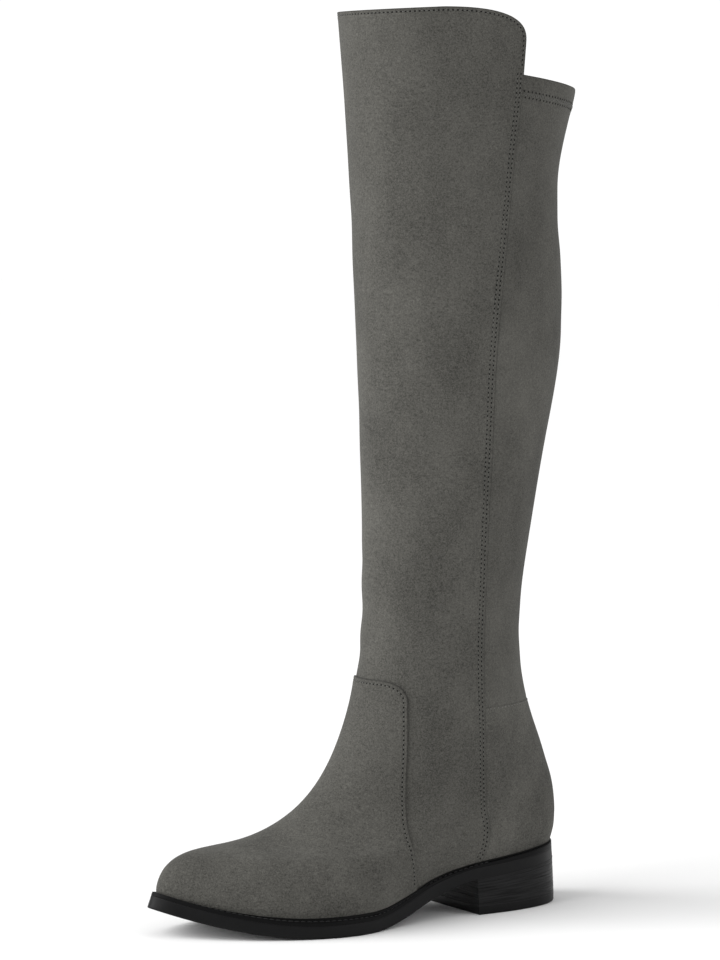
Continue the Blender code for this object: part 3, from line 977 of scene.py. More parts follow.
def nap_group() -> bpy.types.NodeTree:
    """Napped cloth: brushed patches, short strokes, flecks of fibre and a fine crinkle.

    Returns:
        The node group.
    """
    tree, given, end = new_group("napped_cloth", (
        ("Light", "Color", (0.13, 0.13, 0.12, 1)),
        ("Dark", "Color", (0.07, 0.07, 0.065, 1)),
        ("Patch", "Float", 0.5),
        ("Fleck", "Float", 0.5),
        ("Crinkle", "Float", 0.5),
        ("Fleck Scale", "Float", 1700.0),
    ), (("Color", "Color"), ("Roughness", "Float"), ("Height", "Float")))
    place = tree.add("TexCoord").outputs["Object"]
    patch = tree.noise(place, scale=26.0, detail=3.0, stretch=(1.0, 1.0, 0.7))
    stroke = tree.noise(place, scale=95.0, detail=3.0, stretch=(1.0, 1.0, 0.8))
    fleck = tree.noise(place, given["Fleck Scale"])
    fibre = tree.noise(place, scale=900.0, detail=1.0, stretch=(0.85, 0.85, 1.0))
    crinkle = tree.noise(place, scale=420.0, stretch=(0.55, 0.55, 1.5))
    where = tree.range(tree.noise(place, scale=21.0), (0.42, 0.62), (0.15, 1.0))
    crinkled = tree.math("MULTIPLY", tree.departure(crinkle, where), given["Crinkle"])
    specks = tree.math("ADD", tree.departure(fleck, 1.3), tree.departure(fibre, 0.75))
    tone = tree.departure(patch, given["Patch"])
    tone = tree.math("ADD", tone, tree.departure(stroke, 0.22))
    tone = tree.math("ADD", tone, tree.math("MULTIPLY", specks, given["Fleck"]))
    tone = tree.math("ADD", tone, tree.math("MULTIPLY", crinkled, 0.5))
    tone = tree.math("ADD", tone, 0.5, clamp=True)
    height = tree.math("ADD", tree.math("MULTIPLY", specks, 0.5), tree.math("MULTIPLY", crinkled, 1.6))
    return tree.put(end, Color=tree.mix(tone, given["Dark"], given["Light"]),
                    Roughness=tree.range(stroke, (0.3, 0.7), (0.9, 1.0)), Height=height)


def rim_group() -> bpy.types.NodeTree:
    """Seam shadow: darkens a colour where a panel comes near its folded rim.

    Returns:
        The node group.
    """
    tree, given, end = new_group("rim_shade", (
        ("Color", "Color", (0.1, 0.1, 0.1, 1)),
        ("Shade", "Color", (0.5, 0.5, 0.5, 1)),
        ("Width", "Float", 1.0),
    ), (("Color", "Color"),))
    rim = tree.add("Attribute", attribute_name="rim").outputs["Fac"]
    near = tree.add("MapRange", {"Value": rim, "From Min": 0.0, "From Max": given["Width"],
                                 "To Min": 1.0, "To Max": 0.0}).outputs["Result"]
    return tree.put(end, Color=tree.mix(near, given["Color"], given["Shade"], "MULTIPLY"))


def layer_group() -> bpy.types.NodeTree:
    """Stacked layers: fine lines that are level at the heel's foot and follow the seat above.

    Returns:
        The node group.
    """
    tree, given, end = new_group("stacked_layers", (
        ("Dark", "Color", (0.008, 0.008, 0.008, 1)),
        ("Light", "Color", (0.03, 0.03, 0.03, 1)),
        ("Lines", "Float", 12.0),
    ), (("Color", "Color"), ("Roughness", "Float"), ("Height", "Float")))
    place = tree.add("TexCoord").outputs["Object"]
    apart = tree.add("SeparateXYZ", {0: place})
    low = (LIFT_THICK + GAP) * MM
    rise = tree.math("MULTIPLY_ADD", apart.outputs["Y"], SEAT_RISE / BREAST,
                     (HEEL_HEIGHT - LIFT_THICK + SEAT_RISE / BREAST * (BREAST - HEEL_BACK_Y)) * MM)
    level = tree.math("DIVIDE", tree.math("SUBTRACT", apart.outputs["Z"], low), rise)
    level = tree.math("ADD", level, tree.departure(tree.noise(place, scale=38.0), 0.05))
    across = 22.0
    flat = tree.add("CombineXYZ", {0: tree.math("MULTIPLY", apart.outputs["X"], across),
                                   1: tree.math("MULTIPLY", apart.outputs["Y"], across),
                                   2: tree.math("MULTIPLY", level, given["Lines"])}).outputs[0]
    lines = tree.noise(flat, scale=1.6, detail=4.0)
    crisp = tree.range(lines, (0.35, 0.65), (0.0, 1.0))
    return tree.put(end, Color=tree.mix(crisp, given["Dark"], given["Light"]),
                    Roughness=tree.range(lines, (0.3, 0.7), (0.5, 0.36)), Height=lines)


def scuff_group() -> bpy.types.NodeTree:
    """Moulded rubber: a faint cloudiness and a fine grain.

    Returns:
        The node group.
    """
    tree, given, end = new_group("moulded_rubber", (
        ("Dark", "Color", (0.01, 0.01, 0.01, 1)),
        ("Light", "Color", (0.03, 0.03, 0.03, 1)),
        ("Grain", "Float", 900.0),
    ), (("Color", "Color"), ("Roughness", "Float"), ("Height", "Float")))
    place = tree.add("TexCoord").outputs["Object"]
    cloud = tree.noise(place, scale=45.0, detail=3.0)
    return tree.put(end, Color=tree.mix(cloud, given["Dark"], given["Light"]),
                    Roughness=tree.range(cloud, (0.3, 0.7), (0.34, 0.5)),
                    Height=tree.noise(place, given["Grain"]))


def weave_group() -> bpy.types.NodeTree:
    """Lining cloth: a plain weave with a soft unevenness.

    Returns:
        The node group.
    """
    tree, given, end = new_group("woven_cloth", (
        ("Dark", "Color", (0.02, 0.02, 0.02, 1)),
        ("Light", "Color", (0.06, 0.06, 0.06, 1)),
        ("Threads", "Float", 4800.0),
    ), (("Color", "Color"), ("Roughness", "Float"), ("Height", "Float")))
    place = tree.add("TexCoord").outputs["Object"]
    apart = tree.add("SeparateXYZ", {0: place})
    spread_out = tree.math("ADD", apart.outputs["X"], apart.outputs["Y"])
    warp = tree.math("SINE", tree.math("MULTIPLY", spread_out, given["Threads"]))
    weft = tree.math("SINE", tree.math("MULTIPLY", apart.outputs["Z"], given["Threads"]))
    cloth = tree.math("MULTIPLY", warp, weft)
    soft = tree.noise(place, scale=60.0, detail=3.0)
    tone = tree.math("ADD", tree.math("MULTIPLY", cloth, 0.16), soft, clamp=True)
    return tree.put(end, Color=tree.mix(tone, given["Dark"], given["Light"]),
                    Roughness=tree.range(soft, (0.3, 0.7), (0.8, 0.95)), Height=cloth)


class Effect(Enum):
    """The shared effects that a finish may be made of."""

    NAP = "napped_cloth"
    LAYERS = "stacked_layers"
    RUBBER = "moulded_rubber"
    WEAVE = "woven_cloth"


EFFECT_MAKERS: dict[Effect, Callable[[], bpy.types.NodeTree]] = {
    Effect.NAP: nap_group,
    Effect.LAYERS: layer_group,
    Effect.RUBBER: scuff_group,
    Effect.WEAVE: weave_group,
}


def shared(name: str, maker: Callable[[], bpy.types.NodeTree]) -> bpy.types.NodeTree:
    """The node group of that name, made once."""
    return bpy.data.node_groups.get(name) or maker()


@dataclass(frozen=True)
class Finish:
    """A material made of one shared effect.

    Attributes:
        name: Name of the material.
        effect: The effect.
        dark: Darker colour.
        light: Lighter colour.
        values: Further inputs of the effect, by name.
        bump: Depth of its relief, in millimetres.
        sheen: Weight of the sheen.
        sheen_rough: Roughness of the sheen.
        specular: Level of its specular reflection.
        rim: Colour that its folded rim is multiplied by, if it has one.
        rim_width: Width of that shade, in millimetres.
    """

    name: str
    effect: Effect
    dark: tuple[float, float, float]
    light: tuple[float, float, float]
    values: tuple[tuple[str, float], ...] = ()
    bump: float = 0.1
    sheen: float = 0.0
    sheen_rough: float = 0.5
    specular: float = 0.5
    rim: tuple[float, float, float] | None = None
    rim_width: float = 1.0

    def material(self) -> bpy.types.Material:
        """Makes the material, or gives the one already made.

        Returns:
            The material.
        """
        done = bpy.data.materials.get(self.name)
        if done:
            return done
        material = bpy.data.materials.new(self.name)
        material.use_nodes = True
        material.node_tree.nodes.clear()
        tree = Tree(material.node_tree)
        effect = tree.add("Group", node_tree=shared(self.effect.value, EFFECT_MAKERS[self.effect]))
        effect.inputs["Dark"].default_value = (*self.dark, 1)
        effect.inputs["Light"].default_value = (*self.light, 1)
        for key, value in self.values:
            effect.inputs[key].default_value = value
        colour = effect.outputs["Color"]
        if self.rim:
            shade = tree.add("Group", node_tree=shared("rim_shade", rim_group))
            tree.put(shade, Color=colour)
            shade.inputs["Shade"].default_value = (*self.rim, 1)
            shade.inputs["Width"].default_value = self.rim_width
            colour = shade.outputs["Color"]
        bump = tree.add("Bump", {"Height": effect.outputs["Height"], "Strength": 1.0,
                                 "Distance": self.bump * MM})
        shader = tree.add("BsdfPrincipled", {
            "Base Color": colour, "Roughness": effect.outputs["Roughness"], "Normal": bump.outputs[0],
            "Metallic": 0.0, "Sheen Weight": self.sheen, "Sheen Roughness": self.sheen_rough,
            "Specular IOR Level": self.specular})
        tree.add("OutputMaterial", {"Surface": shader.outputs[0]})
        return material


SUEDE = Finish("grey_suede", Effect.NAP, (0.038, 0.0372, 0.0334), (0.115, 0.1122, 0.1009),
               (("Patch", 0.9), ("Fleck", 1.25), ("Crinkle", 1.2)), bump=0.22, sheen=0.05,
               sheen_rough=0.4, specular=0.15, rim=(0.6, 0.6, 0.6), rim_width=0.9)
# The counter's suede is a lighter copy of the grey suede: painted light, for the light that falls on the
# heel's side.
COUNTER_LIT_SUEDE = Finish("counter_painted_light_suede", Effect.NAP, (0.04, 0.0391, 0.0352), (0.124, 0.121, 0.1087),
                       (("Patch", 1.3), ("Fleck", 1.2), ("Crinkle", 0.8)), bump=0.22, sheen=0.05,
                       sheen_rough=0.4, specular=0.15)
# The stretch cloth's own grey, made lighter as painted light for the light that falls on the back of the
# boot.
STRETCH = Finish("stretch_suede_cloth", Effect.NAP, (0.042, 0.041, 0.0369), (0.119, 0.1161, 0.1044),
                 (("Patch", 1.1), ("Fleck", 1.05), ("Crinkle", 0.8)), bump=0.18, sheen=0.05,
                 sheen_rough=0.4, specular=0.15, rim=(0.7, 0.7, 0.7), rim_width=0.8)
LINING = Finish("lining_cloth", Effect.WEAVE, (0.02, 0.0195, 0.018), (0.05, 0.049, 0.046), bump=0.06,
                specular=0.2)
SOCK = Finish("sock_cloth", Effect.WEAVE, (0.03, 0.029, 0.027), (0.07, 0.068, 0.064),
              (("Threads", 5600.0),), bump=0.05, specular=0.2)
THREAD = Finish("grey_thread", Effect.RUBBER, (0.075, 0.074, 0.067), (0.11, 0.1085, 0.098),
                (("Grain", 4000.0),), bump=0.03, sheen=0.2, specular=0.2)
PALE_THREAD = Finish("pale_thread", Effect.RUBBER, (0.13, 0.13, 0.12), (0.2, 0.2, 0.185),
                     (("Grain", 4000.0),), bump=0.03, sheen=0.2, specular=0.2)
# Near-black caps at the stitch ends: painted shade that stands for the shadow inside needle holes.
HOLE_SHADE = Finish("painted_stitch_hole_shade", Effect.RUBBER, (0.007, 0.007, 0.0065), (0.013, 0.013, 0.012), bump=0.02,
              specular=0.05)
SOLE_RUBBER = Finish("outsole_finish", Effect.RUBBER, (0.003, 0.003, 0.0032), (0.006, 0.006, 0.0063),
                     bump=0.03, specular=0.13)
# Black rubber, darker and duller than the outsole: partly the welt's own black, partly painted shade of
# the groove between upper and sole.
WELT_SHADE_RUBBER = Finish("welt_and_groove_shade_finish", Effect.RUBBER, (0.0022, 0.0022, 0.0023), (0.005, 0.005, 0.0052),
                     bump=0.04, specular=0.07)
WELT_THREAD = Finish("welt_thread_finish", Effect.RUBBER, (0.006, 0.006, 0.006), (0.022, 0.022, 0.022),
                     bump=0.02, specular=0.35)
HEEL_STACK = Finish("heel_layer_finish", Effect.LAYERS, (0.0015, 0.0015, 0.0016), (0.012, 0.012, 0.0124),
                    (("Lines", 16.0),), bump=0.25, specular=0.13)
LIFT_RUBBER = Finish("lift_finish", Effect.RUBBER, (0.0025, 0.0025, 0.0026), (0.005, 0.005, 0.0052),
                     bump=0.05, specular=0.12)


# --- The upper -----------------------------------------------------------------------------------

CREASE_DEGREE = 0.85         # length of one degree round the leg, in millimetres
BANK_SHARE = 0.45            # height of the banks beside a crease, as a share of its depth
BANK_AWAY = 1.9              # how far out they stand, in widths of the crease
CREASE_FADE = 9.0            # a crease fades this near to a panel's rim ...
CREASE_LEAST = 0.25          # ... to this share
LINING_THICK = 0.5
PANEL_BACK = 0.55            # distance of a panel's back from the last, outside the lining


@dataclass(frozen=True)
class Crease:
    """A soft trough, or a ridge, pressed into the upper.

    Attributes:
        angle: Where it lies round the leg, in degrees from the back over the outer side.
        height: Height of its middle, in millimetres.
        reach: Half of its length.
        width: Half of its width.
        depth: Its depth, negative for a ridge.
        tilt: How far it leans, in degrees.
    """

    angle: float
    height: float
    reach: float
    width: float
    depth: float
    tilt: float = 0.0

    def relief(self, degrees: Array, height: Array) -> Array:
        """Height that it adds to a face.

        Args:
            degrees: Angles of the points.
            height: Heights of the points.

        Returns:
            The relief, for each point.
        """
        round_it = ((degrees - self.angle + 180) % 360 - 180) * CREASE_DEGREE
        up = height - self.height
        lean = math.radians(self.tilt)
        along = round_it * math.cos(lean) + up * math.sin(lean)
        across = up * math.cos(lean) - round_it * math.sin(lean)
        share = across / self.width
        trough = -np.exp(-share ** 2) + BANK_SHARE * np.exp(-(np.abs(share) - BANK_AWAY) ** 2)
        return self.depth * trough * np.exp(-(along / self.reach) ** 2)


CREASES = (
    # Ankle, in front and on both sides of the instep
    Crease(180.0, 152.0, 40.0, 7.0, 0.55),
    Crease(150.0, 168.0, 34.0, 8.0, 0.4, 12.0),
    Crease(215.0, 176.0, 30.0, 8.0, 0.45, -14.0),
    Crease(178.0, 204.0, 26.0, 6.0, 0.45, 6.0),
    # Behind the ankle
    Crease(52.0, 138.0, 16.0, 5.0, 0.3, -10.0),
    Crease(-50.0, 146.0, 18.0, 6.0, 0.32, 8.0),
    Crease(40.0, 166.0, 18.0, 7.0, 0.26, 12.0),
    # Calf and back of the knee
    Crease(48.0, 352.0, 24.0, 9.0, 0.32, 12.0),
    Crease(-30.0, 372.0, 30.0, 11.0, 0.35, -8.0),
    Crease(34.0, 402.0, 24.0, 9.0, 0.34, -14.0),
    Crease(-8.0, 430.0, 30.0, 11.0, 0.3, -5.0),
    # Front of the shaft
    Crease(130.0, 262.0, 30.0, 12.0, 0.45, -16.0),
    Crease(168.0, 318.0, 34.0, 14.0, 0.4, 10.0),
    Crease(120.0, 372.0, 32.0, 13.0, 0.45, 12.0),
    Crease(160.0, 438.0, 40.0, 15.0, 0.45, -8.0),
    Crease(235.0, 300.0, 36.0, 13.0, 0.45, 10.0),
    Crease(220.0, 405.0, 36.0, 14.0, 0.45, -9.0),
    # Ball of the foot, where the toes bend
    Crease(150.0, 40.0, 20.0, 8.0, 0.3, 60.0),
)


def creased(points: Array, turn: Array) -> Array:
    """Relief of all creases together, at points of the upper and their turns."""
    return sum(crease.relief(np.degrees(turn), points[..., 2]) for crease in CREASES)


def bell(distance: Array, width: float) -> Array:
    """Round bump of height 1 about a distance of 0."""
    return np.exp(-(distance / width) ** 2)


def stitched(rim: Array, rows: Sequence[float]) -> Array:
    """Relief beside a rim: a groove under each stitch row, with a swell on both sides of it.

    Args:
        rim: Distance from the rim.
        rows: Distances of the stitch rows.

    Returns:
        The relief.
    """
    groove, swell, swell_away = 0.2, 0.14, 1.5
    relief = np.zeros_like(rim)
    for row in rows:
        relief -= groove * bell(rim - row, 0.55)
        relief += swell * bell(rim - row - swell_away, 1.1)
    return relief + swell * bell(rim - rows[0] * 0.45, rows[0] * 0.4)


@dataclass
class Upper:
    """Everything above the sole: panels, lining and seams.

    Attributes:
        last: The last that it is built on.
        spacing: Distance between two rows or columns of a panel's grid.
        lap: How far a panel runs on under the next one.
        vamp_start: Place of the vamp's foot.
        collar_row: Distance of the collar's stitch row from its edge.
        collar_start: How far above the back panel that row starts.
        seam_rows: Distances of the side seam's stitch rows from the edge.
        vamp_row: Distance of the vamp's stitch row from its edge.
        hem_rows: Depths of the hem's stitch rows under the back panel's top.
        ankle_row: Depth of the ankle seam's stitches under the counter's top.
        hem_depth: Depth of the hem's lower edge.
        hem_thick: How much thicker the cloth is in the hem.
        zigzag_pitch: Length of a zigzag of the hem's thread.
        back_swell: How far the back panel's face stands outside its wall's.
        counter_swell: The same for the counter.
        front_columns: Number of wide columns on each side of the front panel.
        back_columns: The same for the back panel and the counter.
        vamp_columns: The same for the vamp.
    """

    last: Last
    spacing: float = 2.4
    lap: float = 0.8
    vamp_start: float = 0.2
    collar_row: float = 2.0
    collar_start: float = 1.8
    seam_rows: Pair = (2.3, 4.6)
    vamp_row: float = 2.5
    hem_rows: Pair = (8.8, 13.0)
    ankle_row: float = 0.9
    hem_depth: float = 14.4
    hem_thick: float = 0.22
    zigzag_pitch: float = 3.0
    back_swell: float = 0.25
    counter_swell: float = 0.35
    front_columns: int = 46
    back_columns: int = 34
    vamp_columns: int = 40

    def columns(self, place: Array, start: Array, middle: float, count: int,
                fine: Array) -> Array:
        """Turns of a grid that is fine at both side edges.

        Args:
            place: Place of each row.
            start: Turn of the first edge in each row.
            middle: Turn that the grid is even about.
            count: Number of wide columns on each side.
            fine: Distances of the fine columns from the edge.

        Returns:
            Turns, a row for each place.
        """
        _, round_it = self.last.slopes(place, start)
        degree = np.linalg.norm(round_it, axis=-1)
        inward = math.copysign(1.0, middle - float(start.mean()))
        edge = start[:, None] + inward * fine[None, :] / degree[:, None]
        share = np.linspace(0, 1, count + 1)[1:]
        wide = edge[:, -1:] + (middle - edge[:, -1:]) * share[None, :]
        half = np.concatenate([edge, wide], axis=1)
        return np.concatenate([half, 2 * middle - half[:, -2::-1]], axis=1)

    def shaft_rows(self, start: float, top: float, fine: Array) -> Array:
        """Places from a start up to a top height, fine under the top.

        Args:
            start: First place.
            top: Height of the last one.
            fine: Distances of the fine rows under the top.

        Returns:
            The places.
        """
        low = self.last.even_places(start, float(self.last.height_place(top - fine[-1])), self.spacing)
        high = self.last.height_place(top - fine[::-1][1:])
        return np.concatenate([low, high])

    def spots(self, rows: Array, turn: Array) -> tuple[Array, Array, Array]:
        """Place, height and Y of each vertex of a grid, from the place of each row."""
        place = np.repeat(rows[:, None], turn.shape[1], axis=1)
        return place, self.last.place_height(place), self.last.surface(place, turn)[..., 1]

    def collar_grid(self, inset: float, fine: Array,
                    count: int) -> Grid:
        """Grid of the front panel, up to the collar's dipped line and its rounded rear corners.

        Args:
            inset: How far its edges are drawn in.
            fine: Distances of the fine lines from an edge.
            count: Number of wide columns on each side.

        Returns:
            Places and turns of the grid.
        """
        under_collar = (9.0, 11.0, 13.5, 16.0, 18.5, 21.0)
        rows = self.shaft_rows(0.0, COLLAR_HEIGHT - inset, np.concatenate([fine, under_collar]))
        edge = self.last.seam_turn(rows) + inset / LEG_RADIUS
        turn = self.columns(rows, edge, math.pi, count, fine)
        place, height, y = self.spots(rows, turn)
        depth, tall, power = COLLAR_ROUND_DEPTH, COLLAR_ROUND_HEIGHT, COLLAR_ROUND_POWER
        across = ramp(y, FREE_EDGE_Y - depth, depth - inset)
        up = ramp(height, COLLAR_HEIGHT - tall, tall - inset)
        corner = (across > 0) & (up > 0)
        new_y = FREE_EDGE_Y - depth + (depth - inset) * across * (1 - up ** power / 2) ** (1 / power)
        new_z = COLLAR_HEIGHT - tall + (tall - inset) * up * (1 - across ** power / 2) ** (1 / power)
        height = np.where(corner, new_z, height)
        y = np.where(corner, new_y, y)
        dip = FRONT_DIP * np.clip((FRONT_DIP_Y[0] - y) / (FRONT_DIP_Y[0] - FRONT_DIP_Y[1]), 0, 1)
        height = height - dip * ramp(height, DIP_FOOT, DIP_EASE)
        place = np.where(height > LEVEL_FROM, self.last.height_place(height), place)
        half_turn = self.last.turn_at(place, y)
        turn = np.where(corner, np.where(turn < math.pi, half_turn, 2 * math.pi - half_turn), turn)
        return place, turn

    def back_grid(self, low: float, fine: Array, count: int,
                  inset: float = 0.0) -> Grid:
        """Grid of the back, up to its own slanting top.

        Args:
            low: Lowest place.
            fine: Distances of the fine rows under the top.
            count: Number of wide columns on each side.
            inset: How far its top is lowered.

        Returns:
            Places and turns of the grid.
        """
        rows = self.shaft_rows(low, STEP_HEIGHT, fine)
        edge = -self.last.seam_turn(rows) - self.lap / LEG_RADIUS
        turn = self.columns(rows, edge, 0.0, count, BACK_EDGE_COLUMNS)
        place, height, y = self.spots(rows, turn)
        fall = BACK_TOP_FALL * (y - FREE_EDGE_FOOT_Y) + inset
        share = ramp(height, FALL_FOOT, STEP_HEIGHT - FALL_FOOT) ** FALL_POWER
        height = height - fall * share
        return np.where(height > LEVEL_FROM, self.last.height_place(height), place), turn

    def front_panel(self) -> Panel:
        """The front panel, from the sole to the collar.

        Returns:
            The panel.
        """
        panel = Panel(self.last, *self.collar_grid(0.0, EDGE_COLUMNS, self.front_columns),
                      WALL_FRONT, PANEL_BACK)
        rim = panel.rim_distance()
        points = self.last.surface(panel.place, panel.turn)
        high = ramp(points[..., 2], STEP_HEIGHT, 4.0)
        relief = stitched(rim, self.seam_rows) * (1 - high) + stitched(rim, (self.collar_row,)) * high
        relief += creased(points, panel.turn) * np.clip(rim / CREASE_FADE, CREASE_LEAST, 1)
        panel.build("front_panel", SUEDE, "upper", relief, rim)
        return panel

    def back_panel(self) -> Panel:
        """The stretch back panel, from the ankle seam to its hem.

        Returns:
            The panel.
        """
        fine = np.array([0.0, 0.8, 1.8, 3.0, 4.4, 6.2, 7.6, 8.4, 8.8, 9.4, 11.0, 12.4, 13.0, 13.6, 15.0])
        low, search, lap = 10.6, 11.4, 0.4
        place, turn = self.back_grid(low, fine, self.back_columns)
        columns = turn.shape[1]
        foot = self.last.settle_height(np.full(columns, search), turn[0], COUNTER_TOP - lap, WALL_BACK)
        place = foot + (place - place[:1]) * (place[-1:] - foot) / (place[-1:] - place[:1])
        panel = Panel(self.last, place, turn, WALL_BACK + self.back_swell, PANEL_BACK, 0.4)
        rim = panel.rim_distance(16.0)
        points = self.last.surface(place, turn)
        top = (STEP_HEIGHT - BACK_TOP_FALL * (points[..., 1] - FREE_EDGE_FOOT_Y)) - points[..., 2]
        relief = creased(points, turn)
        for row in self.hem_rows:
            relief -= 0.16 * bell(top - row, 0.7)
        relief += self.hem_thick / (1 + np.exp((top - self.hem_depth) / 0.4))
        relief -= 0.3 * bell(top, 1.6)
        relief -= 0.15 * (1 - ramp(points[..., 2], COUNTER_TOP, 1.4))
        # The stretch cloth's tone is partly its own grey and partly painted light.
        panel.build("back_panel", STRETCH, "upper", relief, rim)
        return panel

    def counter(self) -> Panel:
        """The counter round the heel, from the sole to the ankle seam.

        Returns:
            The panel.
        """
        top_row = 11.45
        rows = self.last.even_places(0.0, top_row, self.spacing)
        edge = -self.last.seam_turn(rows) - self.lap / HEEL_RADIUS
        turn = self.columns(rows, edge, 0.0, self.back_columns, BACK_EDGE_COLUMNS)
        top = self.last.settle_height(np.full(turn.shape[1], top_row), turn[-1], COUNTER_TOP, WALL_BACK)
        place = rows[:, None] * (top / top_row)[None, :]
        panel = Panel(self.last, place, turn, WALL_BACK + self.counter_swell, PANEL_BACK, 0.2)
        rim = panel.rim_distance()
        points = self.last.surface(place, turn)
        drop = COUNTER_TOP - points[..., 2]
        relief = creased(points, turn) * np.clip(drop / 8, 0.2, 1)
        relief -= 0.16 * bell(drop, 0.9)
        # The counter's lighter suede is painted light on the heel's side.
        panel.build("counter", COUNTER_LIT_SUEDE, "upper", relief, rim)
        return panel

    def vamp(self) -> Panel:
        """The vamp over the toe and the instep, with its rounded rear corners.

        Returns:
            The panel.
        """
        outer = WALL_FRONT + GAP + VAMP_THICK
        top = VAMP_EDGE["height"][-1] + VAMP_ROUND
        edge_curve = Spline(VAMP_EDGE["height"], VAMP_EDGE["edge_y"])
        ankle, above_ankle = 11.0, 11.3
        low = self.last.even_places(self.vamp_start, ankle, 2.0)
        heights = np.concatenate([np.arange(self.last.surface(ankle, 2.6)[2] + 2.0, top - 7.5, 1.8),
                                  top - EDGE_COLUMNS[::-1]])
        high = self.last.settle_height(np.full(len(heights), above_ankle), np.full(len(heights), 2.7),
                                       heights, outer)
        rows = np.concatenate([low, high])
        # Halves each row's span of turns until it closes on the vamp's edge
        first = np.full(len(rows), 0.3)
        last_turn = np.full(len(rows), math.pi - 0.05)
        for _ in range(40):
            middle = (first + last_turn) / 2
            here = self.last.lifted(rows, middle, outer)
            height = np.clip(here[:, 2], 4.0, top - VAMP_ROUND)
            behind = here[:, 1] > edge_curve(height)[..., 0]
            first = np.where(behind, middle, first)
            last_turn = np.where(behind, last_turn, middle)
        turn = self.columns(rows, first, math.pi, self.vamp_columns, EDGE_COLUMNS)
        place = np.repeat(rows[:, None], turn.shape[1], axis=1)
        level = self.last.settle_height(np.full(turn.shape[1], rows[-1]), turn[-1], top, outer)
        place = place + ramp(place, 9.5, 2.0) * (level - rows[-1])[None, :]
        place, turn = self.rounded(place, turn, outer, top)
        panel = Panel(self.last, place, turn, outer, WALL_FRONT + 0.05, 0.5)
        rim = panel.rim_distance()
        points = self.last.surface(place, turn)
        foot = ramp(points[..., 2] - self.last.sole.seat(points[..., 1]), 3.0, 6.0)
        relief = stitched(rim, (self.vamp_row,)) * foot
        relief += creased(points, turn) * np.clip(rim / CREASE_FADE, CREASE_LEAST, 1)
        panel.build("vamp_panel", SUEDE, "vamp", relief, rim)
        return panel

    def rounded(self, place: Array, turn: Array, outer: float, top: float) -> Grid:
        """Rounds the vamp's upper rear corners off, by moving its grid inside them.

        Args:
            place: Places of the grid.
            turn: Turns of the grid.
            outer: Distance of the vamp's face from the last.
            top: Height of the vamp's top.

        Returns:
            New places and turns.
        """
        here = self.last.lifted(place, turn, outer)
        corner_y = float(VAMP_EDGE["edge_y"][-1])
        across = np.clip((here[..., 1] - corner_y + VAMP_ROUND) / VAMP_ROUND, 0, 1)
        up = np.clip((here[..., 2] - top + VAMP_ROUND) / VAMP_ROUND, 0, 1)
        inside = (across > 0.02) & (up > 0.02)
        goal = here.copy()
        goal[..., 1] = corner_y - VAMP_ROUND + VAMP_ROUND * across * np.sqrt(1 - up ** 2 / 2)
        goal[..., 2] = top - VAMP_ROUND + VAMP_ROUND * up * np.sqrt(1 - across ** 2 / 2)
        p, t = place[inside], turn[inside]
        step = 1e-3
        for _ in range(12):
            at = self.last.lifted(p, t, outer)
            dp = (self.last.lifted(p + step, t, outer) - at) / step
            dt = (self.last.lifted(p, t + step, outer) - at) / step
            miss = goal[inside] - at
            area = dp[:, 1] * dt[:, 2] - dp[:, 2] * dt[:, 1]
            p = p + np.clip((miss[:, 1] * dt[:, 2] - dt[:, 1] * miss[:, 2]) / area, -0.1, 0.1)
            t = t + np.clip((dp[:, 1] * miss[:, 2] - dp[:, 2] * miss[:, 1]) / area, -0.1, 0.1)
        place, turn = place.copy(), turn.copy()
        place[inside], turn[inside] = p, t
        return place, turn

    def lining(self) -> None:
        """The lining, a thin cloth inside the whole upper, in a front and a back piece."""
        coarse = np.array([0.0, 1.5, 4.0])
        inset, fold = 1.2, 0.15
        front = Panel(self.last, *self.collar_grid(inset, coarse, 26), LINING_THICK, 0.0, fold)
        back = Panel(self.last, *self.back_grid(0.0, coarse, 20, inset), LINING_THICK, 0.02, fold)
        for name, panel in (("lining_front", front), ("lining_back", back)):
            flat = np.zeros(panel.place.shape)
            panel.build(name, LINING, "upper", flat, flat + 9, "sock")

    def sew(self, front: Panel, vamp: Panel, back: Panel, counter: Panel) -> None:
        """Lays every stitch row of the upper.

        Args:
            front: The front panel.
            vamp: The vamp.
            back: The back panel.
            counter: The counter.
        """
        stitch = Stitch()
        height = self.last.surface(front.place[:, 0], front.turn[:, 0])[:, 2]
        low = int(np.searchsorted(height, STEP_HEIGHT + self.collar_start))
        rows = []
        for inset in self.seam_rows:
            for edge, inner in ((0, 4), (-1, -5)):
                spots = [values[:low, column] for column in (edge, inner)
                         for values in (front.place, front.turn)]
                route = inset_route(front, *spots, inset)
                rows.append(Row.lay(self.last, *route, front.outer, stitch.pitch))
        self.make_rows("side_seam", rows, stitch)
        self.make_rows("collar_seam", [self.over_top(front, low, self.collar_row, stitch.pitch)], stitch)
        self.make_rows("vamp_seam", [self.over_top(vamp, 3, self.vamp_row, stitch.pitch)], stitch)
        self.sew_hem(back)
        small = Stitch(pitch=3.1, length=0.9, radius=0.24, hole=0.3)
        spots = [values[row, 4:-4] for row in (-1, -4) for values in (counter.place, counter.turn)]
        route = inset_route(counter, *spots, self.ankle_row)
        row = Row.lay(self.last, *route, counter.outer, small.pitch)
        spread(row, small.thread(), "ankle_seam_thread", PALE_THREAD)

